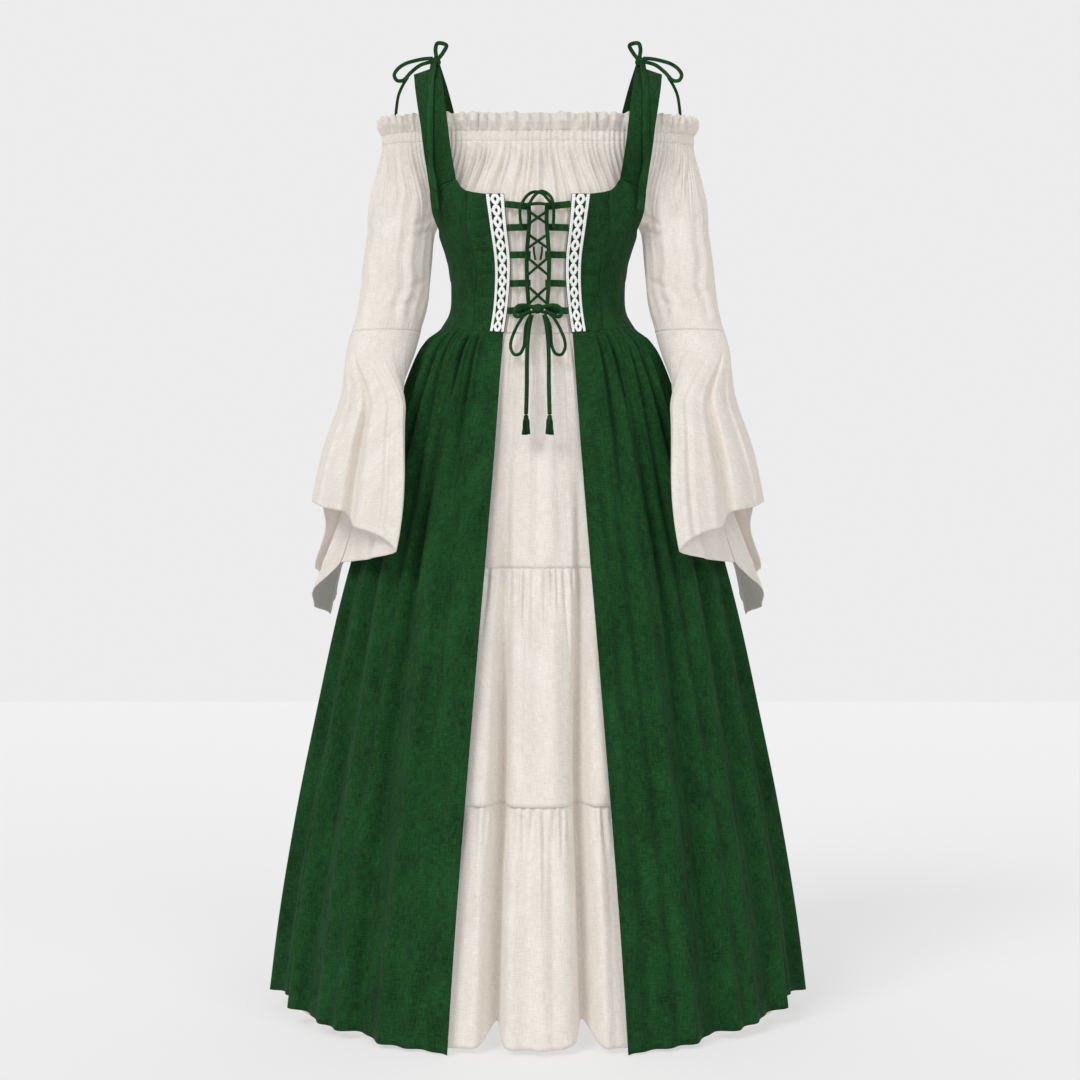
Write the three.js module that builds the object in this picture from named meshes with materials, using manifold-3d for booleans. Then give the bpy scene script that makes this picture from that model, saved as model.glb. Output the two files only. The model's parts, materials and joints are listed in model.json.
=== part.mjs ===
// A medieval gown: an off-shoulder chemise under an open-fronted, laced overdress.
// It is filled out as when worn, with nobody in it. Millimetres, +X to the
// right, the front faces -Y, +Z up. The origin lies midway between the two
// shoulder ties, at shoulder height, where a wearer holds the gown up.
import * as THREE from 'three';
import { mergeVertices } from 'three/addons/utils/BufferGeometryUtils.js';
import Module from 'manifold-3d';

const wasm = await Module();
wasm.setup();

// Driving sizes
const CLOTH = 1.6;           // wall of the overdress and its skirt
const LINEN = 1.2;           // wall of the chemise
const SEAM = 0.3;            // gap between two pieces that are sewn together
const CHEMISE_EASE = 5.7;    // how far the chemise lies inside the bodice
const UNDERSKIRT_EASE = 24;  // how far the underskirt lies inside the overskirt
const HEM_Z = -1378;         // about where the skirt ends
const WAIST_SIDE_Z = -387;
const WAIST_FRONT_DIP = 20;
const WAIST_BACK_DIP = 8;
const SKIRT_GATHERS = 36;
const FRILL_WAVES = 40;
const LACE_RINGS = 12;
const DEGREE = Math.PI / 180;

// Overdress, outer face: half width, depth to the front and to the back
const BODY = [
  { z: -160, half: 179, front: 106, back: 92 },
  { z: -194, half: 176, front: 114, back: 96 },
  { z: -207, half: 172, front: 116, back: 97 },
  { z: -225, half: 164, front: 119, back: 98 },
  { z: -243, half: 151, front: 120, back: 98 },
  { z: -255, half: 147, front: 119, back: 96 },
  { z: -279, half: 139, front: 114, back: 91 },
  { z: -303, half: 133.5, front: 108, back: 87 },
  { z: -333, half: 130, front: 102, back: 84 },
  { z: -363, half: 132, front: 100, back: 88 },
  { z: -387, half: 144, front: 102, back: 95 },
  { z: -411, half: 163, front: 110, back: 110 },
  { z: -435, half: 177, front: 127, back: 125 },
  { z: -495, half: 202, front: 153, back: 149 },
  { z: -570, half: 227, front: 180, back: 176 },
  { z: -645, half: 250, front: 204, back: 200 },
  { z: -735, half: 276, front: 230, back: 227 },
  { z: -825, half: 299, front: 252, back: 252 },
  { z: -945, half: 325, front: 275, back: 283 },
  { z: -1095, half: 355, front: 305, back: 318 },
  { z: -1245, half: 380, front: 330, back: 346 },
  { z: -1390, half: 398, front: 346, back: 364 },
];

// Half distances from the middle of the front to the opening's edge, to the far
// edge of the lace and to the princess seam
const PANELS = [
  { z: -182, edge: 50, lace: 76, princess: 104 },
  { z: -205, edge: 49, lace: 75, princess: 104 },
  { z: -249, edge: 45.5, lace: 69, princess: 104 },
  { z: -305, edge: 40, lace: 62, princess: 91 },
  { z: -360, edge: 43, lace: 63.5, princess: 93 },
  { z: -412, edge: 50, lace: 70.5, princess: 97 },
];

// Top edge of the bodice: neckline, front strap, armhole, back strap, back neck
const BODICE_TOP = [
  { angle: 15, z: -206 },
  { angle: 26, z: -205 },
  { angle: 33, z: -201 },
  { angle: 37, z: -197.5 },
  { angle: 40, z: -191 },
  { angle: 42.5, z: -180 },
  { angle: 64.6, z: -192 },
  { angle: 66.5, z: -207 },
  { angle: 70.5, z: -227 },
  { angle: 78, z: -245 },
  { angle: 90, z: -254 },
  { angle: 102, z: -245 },
  { angle: 110, z: -226 },
  { angle: 116, z: -194 },
  { angle: 124, z: -176 },
  { angle: 144, z: -172 },
  { angle: 151, z: -184 },
  { angle: 180, z: -187 },
];

// Soft folds of the overskirt on one side: place at the waist and at the hem,
// width, depth and the height at which each one starts
const SKIRT_FOLDS = [
  { waist: 27, hem: 24, width: 5.5, depth: 13, start: -405 },
  { waist: 43, hem: 39, width: 6.5, depth: 16, start: -400 },
  { waist: 57, hem: 54, width: 5.0, depth: 11, start: -430 },
  { waist: 72, hem: 71, width: 6.0, depth: 15, start: -400 },
  { waist: 88, hem: 88, width: 6.0, depth: 12, start: -410 },
  { waist: 103, hem: 104, width: 6.5, depth: 15, start: -400 },
  { waist: 119, hem: 120, width: 5.5, depth: 12, start: -420 },
  { waist: 136, hem: 137, width: 6.5, depth: 16, start: -400 },
  { waist: 153, hem: 153, width: 6.0, depth: 13, start: -410 },
  { waist: 170, hem: 170, width: 6.0, depth: 12, start: -420 },
];

// Hem of the overskirt round one side: lowest beside the front opening
const SKIRT_HEM = [
  { angle: 0, z: -1387 },
  { angle: 18, z: -1387 },
  { angle: 35, z: -1381 },
  { angle: 50, z: -1372 },
  { angle: 62, z: -1363 },
  { angle: 76, z: -1361 },
  { angle: 90, z: -1367 },
  { angle: 120, z: -1374 },
  { angle: 180, z: -1379 },
];

// Folds of the underskirt that show in the front opening
const TIER_FOLDS = [
  { waist: -13, hem: -9, width: 2.6, depth: 16, start: -620 },
  { waist: 11, hem: 8.5, width: 2.8, depth: 18, start: -620 },
  { waist: 34, hem: 34, width: 5, depth: 12, start: -620 },
  { waist: -34, hem: -34, width: 5, depth: 12, start: -620 },
];

// The neckline's ring, and the sleeve below the underarm
const RING = { half: 233, front: 85, back: 80 };
const FRILL_BASE = { side: -101, frontDip: 8, backDip: 5 };
const FRILL_HEIGHT = 25;
const BAND_HEIGHT = 15;
const RAGLAN_X = 148;
const UNDERARM_Z = -228;
const SLEEVE_SEAM_Z = -398;
const SLEEVE = [
  { z: -100, x: 201.5, y: 0, half: 54, deep: 56 },
  { z: -228, x: 202.5, y: 0, half: 53, deep: 50 },
  { z: -248, x: 206, y: -3, half: 50, deep: 50 },
  { z: -291, x: 210.5, y: -9, half: 50.5, deep: 52 },
  { z: -345, x: 214.5, y: -20, half: 50.5, deep: 50 },
  { z: -398, x: 225, y: -35, half: 51, deep: 48 },
  { z: -470, x: 241, y: -68, half: 57, deep: 46 },
  { z: -850, x: 270, y: -120, half: 60, deep: 40 },
];

// The bell wraps round the skirt: middle and half reach of its angle, and the
// middle and half reach of its distance from the skirt
const BELL = [
  { z: -398, angle: 72, reach: 18, away: 54, swell: 44 },
  { z: -500, angle: 72, reach: 25, away: 54, swell: 38 },
  { z: -620, angle: 73, reach: 34, away: 54, swell: 38 },
  { z: -720, angle: 75, reach: 36, away: 48, swell: 30 },
  { z: -780, angle: 77, reach: 34, away: 47, swell: 22 },
  { z: -850, angle: 80, reach: 32, away: 44, swell: 13 },
];

// Hem of the bell, from the underarm side round the front and the back
const BELL_HEM = [
  { turn: 0.00, z: -738 },
  { turn: 0.12, z: -732 },
  { turn: 0.25, z: -719 },
  { turn: 0.33, z: -697 },
  { turn: 0.42, z: -670 },
  { turn: 0.50, z: -650 },
  { turn: 0.56, z: -643 },
  { turn: 0.61, z: -748 },
  { turn: 0.67, z: -762 },
  { turn: 0.74, z: -796 },
  { turn: 0.82, z: -820 },
  { turn: 0.90, z: -790 },
  { turn: 1.00, z: -738 },
];

// The deep fold of the bell behind its outer tip
const BELL_FOLD = { turn: 0.61, width: 0.05, depth: 34, start: -560, end: -670, run: 75 };

const GREEN = new THREE.MeshStandardMaterial({ color: 0x1d4a28, roughness: 0.9, metalness: 0 });
const CREAM = new THREE.MeshStandardMaterial({ color: 0xebe4dc, roughness: 0.85, metalness: 0 });
const WHITE = new THREE.MeshStandardMaterial({ color: 0xf3f3f1, roughness: 0.8, metalness: 0 });

const gown = new THREE.Group();

function mix(a, b, share) {
  return a + (b - a) * share;
}

function ease(share) {
  const t = Math.min(1, Math.max(0, share));
  return t * t * (3 - 2 * t);
}

// A smooth curve through one column of a table, by the column named key
function curve(table, key, at, column) {
  const rising = table[table.length - 1][key] > table[0][key];
  const rows = rising ? table : [...table].reverse();
  const last = rows.length - 1;
  const x = Math.min(rows[last][key], Math.max(rows[0][key], at));
  let i = 0;
  while (i < last - 1 && x > rows[i + 1][key]) i += 1;
  const slope = (k) => {
    const lo = rows[Math.max(0, k - 1)];
    const hi = rows[Math.min(last, k + 1)];
    return (hi[column] - lo[column]) / (hi[key] - lo[key]);
  };
  const step = rows[i + 1][key] - rows[i][key];
  const t = (x - rows[i][key]) / step;
  const t2 = t * t;
  const t3 = t2 * t;
  return (2 * t3 - 3 * t2 + 1) * rows[i][column]
    + (t3 - 2 * t2 + t) * step * slope(i)
    + (3 * t2 - 2 * t3) * rows[i + 1][column]
    + (t3 - t2) * step * slope(i + 1);
}

// Straight lines through one column of a table
function line(table, key, at, column) {
  let i = 0;
  while (i < table.length - 2 && at > table[i + 1][key]) i += 1;
  const share = (at - table[i][key]) / (table[i + 1][key] - table[i][key]);
  return mix(table[i][column], table[i + 1][column], Math.min(1, Math.max(0, share)));
}

// A point of an oval round the Z axis, moved out by lift. Angle 0 is the middle
// of the front, 90 the side at +X, 180 the middle of the back.
function onOval(oval, angle, z, lift) {
  const across = Math.sin(angle * DEGREE);
  const along = Math.cos(angle * DEGREE);
  const deep = along > 0 ? oval.front : oval.back;
  const n = new THREE.Vector3(across / oval.half, -along / deep, 0).normalize();
  const p = new THREE.Vector3(oval.half * across, -deep * along, z);
  return { p: p.addScaledVector(n, lift), n };
}

function bodyOval(z, inset) {
  return {
    half: curve(BODY, 'z', z, 'half') - inset,
    front: curve(BODY, 'z', z, 'front') - inset,
    back: curve(BODY, 'z', z, 'back') - inset,
  };
}

function waistZ(angle) {
  const along = Math.cos(angle * DEGREE);
  return WAIST_SIDE_Z - along * along * (along > 0 ? WAIST_FRONT_DIP : WAIST_BACK_DIP);
}

function hollow(folds, angle, z, mirrored) {
  const half = angle > 180 ? angle - 360 : angle;
  const place = mirrored ? Math.abs(half) : half;
  let depth = 0;
  for (const fold of folds) {
    const down = ease((fold.start - z) / (fold.start - HEM_Z) * 1.6);
    const middle = mix(fold.waist, fold.hem, ease((WAIST_SIDE_Z - z) / 700));
    const off = (place - middle) / fold.width;
    depth += fold.depth * down * Math.exp(-off * off);
  }
  return depth;
}

// Turns rows of points and outward directions into one closed wall
function wallGeometry(rows, thick, ring) {
  const across = rows[0].length;
  const places = [];
  for (const row of rows) {
    for (const { p } of row) places.push(p.x, p.y, p.z);
  }
  for (const row of rows) {
    for (const { p, n } of row) {
      const q = p.clone().addScaledVector(n, -thick);
      places.push(q.x, q.y, q.z);
    }
  }
  const inner = rows.length * across;
  const faces = [];
  const quad = (a, b, c, d) => faces.push(a, b, c, a, c, d);
  const spans = ring ? across : across - 1;
  for (let i = 0; i < rows.length - 1; i += 1) {
    for (let j = 0; j < spans; j += 1) {
      const k = (j + 1) % across;
      const a = i * across + j;
      const b = (i + 1) * across + j;
      const c = (i + 1) * across + k;
      const d = i * across + k;
      quad(a, b, c, d);
      quad(inner + a, inner + d, inner + c, inner + b);
    }
  }
  const low = (rows.length - 1) * across;
  for (let j = 0; j < spans; j += 1) {
    const k = (j + 1) % across;
    quad(j, k, inner + k, inner + j);
    quad(low + k, low + j, inner + low + j, inner + low + k);
  }
  if (!ring) {
    for (let i = 0; i < rows.length - 1; i += 1) {
      const a = i * across;
      const b = (i + 1) * across;
      quad(b, a, inner + a, inner + b);
      quad(a + across - 1, b + across - 1, inner + b + across - 1, inner + a + across - 1);
    }
  }
  const geometry = new THREE.BufferGeometry();
  geometry.setAttribute('position', new THREE.Float32BufferAttribute(places, 3));
  geometry.setIndex(faces);
  return facingOut(geometry);
}

// Turns the faces round where they point into the solid
function facingOut(geometry) {
  const places = geometry.getAttribute('position');
  const faces = geometry.getIndex().array;
  const [a, b, c] = [new THREE.Vector3(), new THREE.Vector3(), new THREE.Vector3()];
  let volume = 0;
  for (let i = 0; i < faces.length; i += 3) {
    a.fromBufferAttribute(places, faces[i]);
    b.fromBufferAttribute(places, faces[i + 1]);
    c.fromBufferAttribute(places, faces[i + 2]);
    volume += a.dot(b.cross(c));
  }
  if (volume < 0) {
    for (let i = 0; i < faces.length; i += 3) {
      [faces[i + 1], faces[i + 2]] = [faces[i + 2], faces[i + 1]];
    }
  }
  geometry.computeVertexNormals();
  return geometry;
}

function add(name, geometry, material) {
  const mesh = new THREE.Mesh(geometry, material);
  mesh.name = name;
  gown.add(mesh);
}

// The same piece on the other side of the gown
function mirrored(rows) {
  const flip = (v) => new THREE.Vector3(-v.x, v.y, v.z);
  return rows.map((row) => row.map(({ p, n }) => ({ p: flip(p), n: flip(n) })));
}

function mirroredGeometry(geometry) {
  const copy = geometry.clone();
  const places = copy.getAttribute('position');
  for (let i = 0; i < places.count; i += 1) places.setX(i, -places.getX(i));
  return facingOut(copy);
}

function addPair(name, rows, thick, material) {
  add(`${name}_right`, wallGeometry(rows, thick, false), material);
  add(`${name}_left`, wallGeometry(mirrored(rows), thick, false), material);
}

// The same shape with its shared corners merged
function merged(geometry) {
  const bare = geometry.clone();
  bare.deleteAttribute('normal');
  bare.deleteAttribute('uv');
  return facingOut(mergeVertices(bare, 1e-4));
}

// Joins closed shapes into one solid
function toSolid(geometry) {
  const bare = merged(geometry);
  return new wasm.Manifold(new wasm.Mesh({
    numProp: 3,
    vertProperties: new Float32Array(bare.getAttribute('position').array),
    triVerts: new Uint32Array(bare.getIndex().array),
  }));
}

function joined(geometries) {
  let whole = toSolid(geometries[0]);
  for (const next of geometries.slice(1)) whole = whole.add(toSolid(next));
  const mesh = whole.getMesh();
  const geometry = new THREE.BufferGeometry();
  geometry.setAttribute('position', new THREE.Float32BufferAttribute(mesh.vertProperties, 3));
  geometry.setIndex(Array.from(mesh.triVerts));
  geometry.computeVertexNormals();
  return geometry;
}

// A round cord along a smooth line through its points
function cordGeometry(points, diameter, steps, sides) {
  const section = new THREE.Shape();
  for (let i = 0; i < sides; i += 1) {
    const turn = (i / sides) * 2 * Math.PI;
    const x = (diameter / 2) * Math.cos(turn);
    const y = (diameter / 2) * Math.sin(turn);
    if (i === 0) section.moveTo(x, y);
    else section.lineTo(x, y);
  }
  const path = new THREE.CatmullRomCurve3(points);
  return merged(new THREE.ExtrudeGeometry(section, { steps, extrudePath: path }));
}

// A flat ribbon whose broad face looks along the direction front
const FORWARD = new THREE.Vector3(0, -1, 0);
function tapeGeometry(points, width, thick, steps, front = FORWARD) {
  const path = new THREE.CatmullRomCurve3(points);
  const rows = [];
  for (let i = 0; i <= steps; i += 1) {
    const p = path.getPointAt(i / steps);
    const t = path.getTangentAt(i / steps);
    const side = new THREE.Vector3().crossVectors(t, front).normalize();
    const n = new THREE.Vector3().crossVectors(side, t).normalize();
    rows.push([-1, 1].map((s) => ({ p: p.clone().addScaledVector(side, s * width / 2), n })));
  }
  return wallGeometry(rows, thick, false);
}

// A small rounded knot, as wide, deep and tall as size says
function knotGeometry(place, size) {
  const ball = new THREE.SphereGeometry(0.5, 8, 6);
  ball.scale(size.x, size.y, size.z);
  ball.translate(place.x, place.y, place.z);
  return ball;
}

// Neck ring of the chemise: frill and shirred band
function ringZ(angle) {
  const along = Math.cos(angle * DEGREE);
  const dip = along > 0 ? FRILL_BASE.frontDip : FRILL_BASE.backDip;
  return FRILL_BASE.side - along * along * dip;
}

function neckFrill() {
  const perWave = 2;
  const count = FRILL_WAVES * perWave;
  const levels = [
    { up: SEAM, out: 0.6, wave: 1.2 },
    { up: 0.45 * FRILL_HEIGHT, out: 4.5, wave: 3.2 },
    { up: FRILL_HEIGHT, out: 5.5, wave: 5.2 },
  ];
  const rows = levels.map(({ up, out, wave }) => {
    const row = [];
    for (let j = 0; j < count; j += 1) {
      const angle = (j / count) * 360;
      const swing = Math.cos((j / perWave) * 2 * Math.PI);
      row.push(onOval(RING, angle, ringZ(angle) + up, out + wave * swing));
    }
    return row;
  });
  add('neck_frill', wallGeometry(rows, LINEN, true), CREAM);
}

function neckBand() {
  const count = 48;
  const rows = [0, -BAND_HEIGHT].map((down) => {
    const row = [];
    for (let j = 0; j < count; j += 1) {
      const angle = (j / count) * 360;
      row.push(onOval(RING, angle, ringZ(angle) + down, j % 2 ? 0.4 : -0.4));
    }
    return row;
  });
  add('neck_band', wallGeometry(rows, 1.8, true), CREAM);
}

// Chemise body: from the neck ring into the oval inside the bodice
function chemisePoint(side, share, z, lift) {
  const drop = ease((z - (-125)) / (UNDERARM_Z - (-125)));
  const ringAngle = Math.asin((share * RAGLAN_X) / RING.half) / DEGREE;
  const inner = bodyOval(z, CHEMISE_EASE);
  inner.half = Math.min(inner.half, RAGLAN_X - 2);
  const top = onOval(RING, side > 0 ? ringAngle : 180 - ringAngle, z, lift);
  const low = onOval(inner, side > 0 ? share * 90 : 180 - share * 90, z, lift);
  return { p: top.p.lerp(low.p, drop), n: top.n.lerp(low.n, drop).normalize() };
}

function chemiseBody(name, side, columns, gather) {
  const levels = [0, 0.13, 0.3, 0.45, 0.6, 0.73, 0.86, 1];
  const rows = levels.map((level) => {
    const row = [];
    for (let j = 0; j <= columns; j += 1) {
      const edge = 1 - (2 * SEAM) / RAGLAN_X;
      const share = mix(-edge, edge, j / columns);
      const angle = side > 0 ? share * 90 : 180 - share * 90;
      const topZ = ringZ(side > 0 ? share * 40 : 180 - share * 40) - BAND_HEIGHT - SEAM;
      const z = mix(topZ, waistZ(angle) + SEAM, level);
      const swell = gather * (j % 2 ? 1 : -1) * (1 - 0.75 * Math.sin(level * Math.PI));
      row.push(chemisePoint(side, share, z, -1.5 + swell));
    }
    return row;
  });
  add(name, wallGeometry(rows, LINEN, false), CREAM);
}

// Sleeve: its top runs round the neck ring, its lower part is a tube with a seam
// along the inner side. Turn 0 is the inner side, 0.25 the front, 0.5 the outer side.
function sleeveTube(turn, z) {
  const phi = (turn * 360 - 90) * DEGREE;
  const x = curve(SLEEVE, 'z', z, 'x') + curve(SLEEVE, 'z', z, 'half') * Math.sin(phi);
  const y = curve(SLEEVE, 'z', z, 'y') - curve(SLEEVE, 'z', z, 'deep') * Math.cos(phi);
  return new THREE.Vector3(x, y, z);
}

function sleevePlace(turn, z) {
  const start = Math.asin(RAGLAN_X / RING.half) / DEGREE;
  const top = onOval(RING, mix(start, 180 - start, turn), z, 0).p;
  return top.lerp(sleeveTube(turn, z), ease((z - (-112)) / (UNDERARM_Z - (-112))));
}

function bellPlace(turn, z) {
  const phi = (turn * 360 - 90) * DEGREE;
  const angle = curve(BELL, 'z', z, 'angle') - curve(BELL, 'z', z, 'reach') * Math.cos(phi);
  const lift = curve(BELL, 'z', z, 'away') + curve(BELL, 'z', z, 'swell') * Math.sin(phi);
  const wrapped = onOval(bodyOval(z, 0), angle, z, lift).p;
  return sleeveTube(turn, z).lerp(wrapped, ease((SLEEVE_SEAM_Z - z) / 125));
}

// A point of a level curve with its outward direction, moved out by lift
function moved(place, turn, z, lift) {
  const step = 0.004;
  const before = place(Math.max(0, turn - step), z);
  const after = place(Math.min(1, turn + step), z);
  const n = new THREE.Vector3(after.y - before.y, before.x - after.x, 0).normalize();
  return { p: place(turn, z).addScaledVector(n, lift), n };
}

function sleeves() {
  const columns = 20;
  const levels = [0, 0.12, 0.28, 0.44, 0.62, 0.8, 1];
  const rows = levels.map((level) => levelRow(level));
  function levelRow(level) {
    const row = [];
    for (let j = 0; j <= columns; j += 1) {
      const turn = mix(0.003, 0.997, j / columns);
      const topZ = ringZ(mix(39, 141, turn)) - BAND_HEIGHT - SEAM;
      const z = mix(topZ, SLEEVE_SEAM_Z + SEAM, level);
      const gather = (j % 2 ? 1 : -1) * 2.4 * (1 - ease(level * 2.2));
      const fold = 2.2 * Math.sin(turn * 6 * Math.PI + level * 4) * ease(level * 2);
      row.push(moved(sleevePlace, turn, z, gather + fold));
    }
    return row;
  }
  addPair('sleeve', rows, LINEN, CREAM);
}

// The deep fold behind the outer tip of the bell
function bellFold(turn, z) {
  const off = (turn - BELL_FOLD.turn) / BELL_FOLD.width;
  const opens = ease((BELL_FOLD.start - z) / BELL_FOLD.run);
  const closes = 1 - ease((BELL_FOLD.end - z) / BELL_FOLD.run);
  return BELL_FOLD.depth * Math.exp(-off * off) * opens * closes;
}

function bells() {
  const turns = [0.003, 0.07, 0.14, 0.20, 0.25, 0.29, 0.33, 0.375, 0.42, 0.46, 0.50, 0.535,
    0.565, 0.60, 0.64, 0.68, 0.72, 0.77, 0.82, 0.88, 0.94, 0.997];
  const levels = [0, 0.16, 0.34, 0.55, 0.78, 1];
  const rows = levels.map((level) => turns.map((turn) => {
    const z = mix(SLEEVE_SEAM_Z - SEAM, line(BELL_HEM, 'turn', turn, 'z'), level);
    const flute = 5 * Math.sin(turn * 10 * Math.PI) * ease(level) * (z < -740 ? 0.5 : 1);
    return moved(bellPlace, turn, z, flute - bellFold(turn, z));
  }));
  addPair('bell', rows, LINEN, CREAM);
}

// Underskirt: three gathered tiers
const TIERS = [
  { name: 'tier_1', top: null, low: -744, gather: 1.5, grow: 0 },
  { name: 'tier_2', top: -744, low: -1066, gather: 2.6, grow: 3 },
  { name: 'tier_3', top: -1066, low: -1381, gather: 2.8, grow: 6 },
];

function tierAngles() {
  const angles = [];
  const window = 24;
  const hidden = 16;
  for (let j = 0; j < window; j += 1) angles.push(mix(-21, 21, j / window));
  for (let j = 0; j < hidden; j += 1) angles.push(mix(21, 339, j / hidden));
  return angles;
}

function underskirt() {
  const angles = tierAngles();
  for (const tier of TIERS) {
    const rows = [0, 0.1, 0.4, 0.7, 1].map((level) => angles.map((angle, j) => {
      const along = Math.cos(angle * DEGREE);
      const z = mix((tier.top || waistZ(angle)) - SEAM, tier.low, level);
      const close = ease((-z - 400) / 200);
      const inset = mix(CHEMISE_EASE + 1, UNDERSKIRT_EASE, close) - tier.grow * ease(level * 3);
      const gather = tier.gather * (j % 2 ? 1 : -1) * (1 - 0.8 * ease(level * 3));
      const fold = hollow(TIER_FOLDS, angle, z, false);
      const back = Math.max(0, -along) * 4;
      return onOval(bodyOval(z, inset + back), angle, z, gather - fold);
    }));
    add(tier.name, wallGeometry(rows, LINEN, true), CREAM);
  }
}

// Overskirt: gathered at the waist, open in front
function skirtEdge(z) {
  const down = ease((-z - 400) / 980);
  const half = bodyOval(z, 0).half;
  return Math.asin(mix(50, 122, mix((-z - 400) / 980, down, 0.2)) / half) / DEGREE;
}

function skirtPoint(angle, z, j) {
  const top = ease((-z - 380) / 90);
  const gather = 2.6 * (j % 2 ? 1 : -1) * (1 - top);
  const ridge = 8 * ease((-z - 400) / 500);
  return onOval(bodyOval(z, 0), angle, z, gather + ridge - hollow(SKIRT_FOLDS, angle, z, true));
}

function skirtRows(from, to, columns, open) {
  const levels = [0, 0.035, 0.1, 0.21, 0.36, 0.55, 0.77, 1];
  return levels.map((level) => {
    const row = [];
    for (let j = 0; j <= columns; j += 1) {
      const nominal = mix(from, to, j / columns);
      const hem = line(SKIRT_HEM, 'angle', nominal > 180 ? 360 - nominal : nominal, 'z');
      const z = mix(waistZ(nominal) - 2 * SEAM, hem, level);
      const half = bodyOval(z, 0).half;
      const gap = (SEAM / 2 / half) / DEGREE;
      const start = open ? skirtEdge(z) : from + gap;
      const angle = mix(start, to - gap, j / columns);
      row.push(skirtPoint(angle, z, j));
    }
    return row;
  });
}

function overskirt() {
  const frontColumns = SKIRT_GATHERS / 2;
  addPair('overskirt_front', skirtRows(18, 92, frontColumns, true), CLOTH, GREEN);
  const back = skirtRows(92, 268, SKIRT_GATHERS, false);
  add('overskirt_back', wallGeometry(back, CLOTH, false), GREEN);
}

// Bodice: front panels beside the opening, side panels, back panel
function bodiceTop(angle) {
  return line(BODICE_TOP, 'angle', angle > 180 ? 360 - angle : angle, 'z');
}

function panelAngle(column, z) {
  return Math.asin(curve(PANELS, 'z', z, column) / bodyOval(z, 0).half) / DEGREE;
}

const BODICE_LEVELS = [0, 0.08, 0.2, 0.34, 0.5, 0.68, 0.85, 1];

function bodicePiece(columns) {
  return BODICE_LEVELS.map((level) => columns.map(({ nominal, angleAt }) => {
    const z = mix(bodiceTop(nominal), waistZ(nominal) + SEAM, level);
    return onOval(bodyOval(z, 0), angleAt(z), z, 0);
  }));
}

function frontColumns() {
  const gap = (z) => (SEAM / 2 / bodyOval(z, 0).half) / DEGREE;
  return [
    { nominal: 16.5, angleAt: (z) => panelAngle('edge', z) },
    { nominal: 25.8, angleAt: (z) => panelAngle('lace', z) },
    { nominal: 31, angleAt: (z) => mix(panelAngle('lace', z), panelAngle('princess', z), 0.5) },
    { nominal: 36.3, angleAt: (z) => panelAngle('princess', z) - gap(z) },
  ];
}

function sideColumns() {
  const gap = (z) => (SEAM / 2 / bodyOval(z, 0).half) / DEGREE;
  const start = (z) => panelAngle('princess', z) + gap(z);
  return [36.3, 40, 42.5, 53, 64.6, 70.5, 78, 90].map((nominal) => ({
    nominal,
    angleAt: (z) => mix(start(z), 90 - gap(z), (nominal - 36.3) / (90 - 36.3)),
  }));
}

function backColumns() {
  const half = [90, 102, 110, 116, 124, 144, 151, 180];
  const whole = [...half, ...half.slice(0, -1).reverse().map((angle) => 360 - angle)];
  return whole.map((nominal) => ({
    nominal,
    angleAt: (z) => {
      const gap = (SEAM / 2 / bodyOval(z, 0).half) / DEGREE;
      return Math.min(270 - gap, Math.max(90 + gap, nominal));
    },
  }));
}

const bodiceFront = bodicePiece(frontColumns());

function bodice() {
  addPair('bodice_front', bodiceFront, CLOTH, GREEN);
  addPair('bodice_side', bodicePiece(sideColumns()), CLOTH, GREEN);
  add('bodice_back', wallGeometry(bodicePiece(backColumns()), CLOTH, false), GREEN);
}

// Straps, each from the bodice's top edge to the shoulder tie
const STRAP_FRONT = [
  { inX: 124, inY: -91, inZ: -158, outX: 163.5, outY: -63, outZ: -160 },
  { inX: 128, inY: -97, inZ: -130, outX: 167.5, outY: -80, outZ: -130 },
  { inX: 131, inY: -99, inZ: -104, outX: 170.5, outY: -86, outZ: -104 },
  { inX: 135, inY: -91, inZ: -72, outX: 175, outY: -80, outZ: -76 },
  { inX: 140, inY: -68, inZ: -36, outX: 180, outY: -62, outZ: -44 },
  { inX: 147, inY: -25, inZ: 0, outX: 184, outY: -33, outZ: -15 },
];
const STRAP_BACK = [
  { inX: 107, inY: 90, inZ: -145, outX: 148, outY: 76, outZ: -145 },
  { inX: 112, inY: 97, inZ: -118, outX: 152, outY: 84, outZ: -118 },
  { inX: 118, inY: 95, inZ: -90, outX: 158, outY: 84, outZ: -90 },
  { inX: 127, inY: 70, inZ: -56, outX: 167, outY: 64, outZ: -60 },
  { inX: 137, inY: 34, inZ: -20, outX: 176, outY: 32, outZ: -30 },
  { inX: 146, inY: -19.6, inZ: 3.5, outX: 182, outY: -15, outZ: -12 },
];

function strapRows(table, baseIn, baseOut) {
  const base = [baseIn, mix(baseIn, baseOut, 0.5), baseOut].map((angle) => {
    const z = bodiceTop(angle) + SEAM;
    return onOval(bodyOval(z, 0), angle, z, 0).p;
  });
  const lines = [base];
  for (const row of table) {
    const inner = new THREE.Vector3(row.inX, row.inY, row.inZ);
    const outer = new THREE.Vector3(row.outX, row.outY, row.outZ);
    lines.push([inner, inner.clone().lerp(outer, 0.5), outer]);
  }
  return lines.map((points, i) => {
    const ahead = lines[Math.min(i + 1, lines.length - 1)][1].clone();
    const along = ahead.sub(lines[Math.max(i - 1, 0)][1]);
    const across = points[2].clone().sub(points[0]);
    const n = new THREE.Vector3().crossVectors(across, along).normalize();
    return points.map((p) => ({ p, n }));
  });
}

function outward(rows, sign) {
  const facing = Math.sign(rows[2][1].n.y) === sign ? 1 : -1;
  return rows.map((row) => row.map(({ p, n }) => ({ p, n: n.clone().multiplyScalar(facing) })));
}

const strapFront = outward(strapRows(STRAP_FRONT, 42.5, 64.6), -1);
const strapBack = outward(strapRows(STRAP_BACK, 144, 124), 1);

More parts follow.
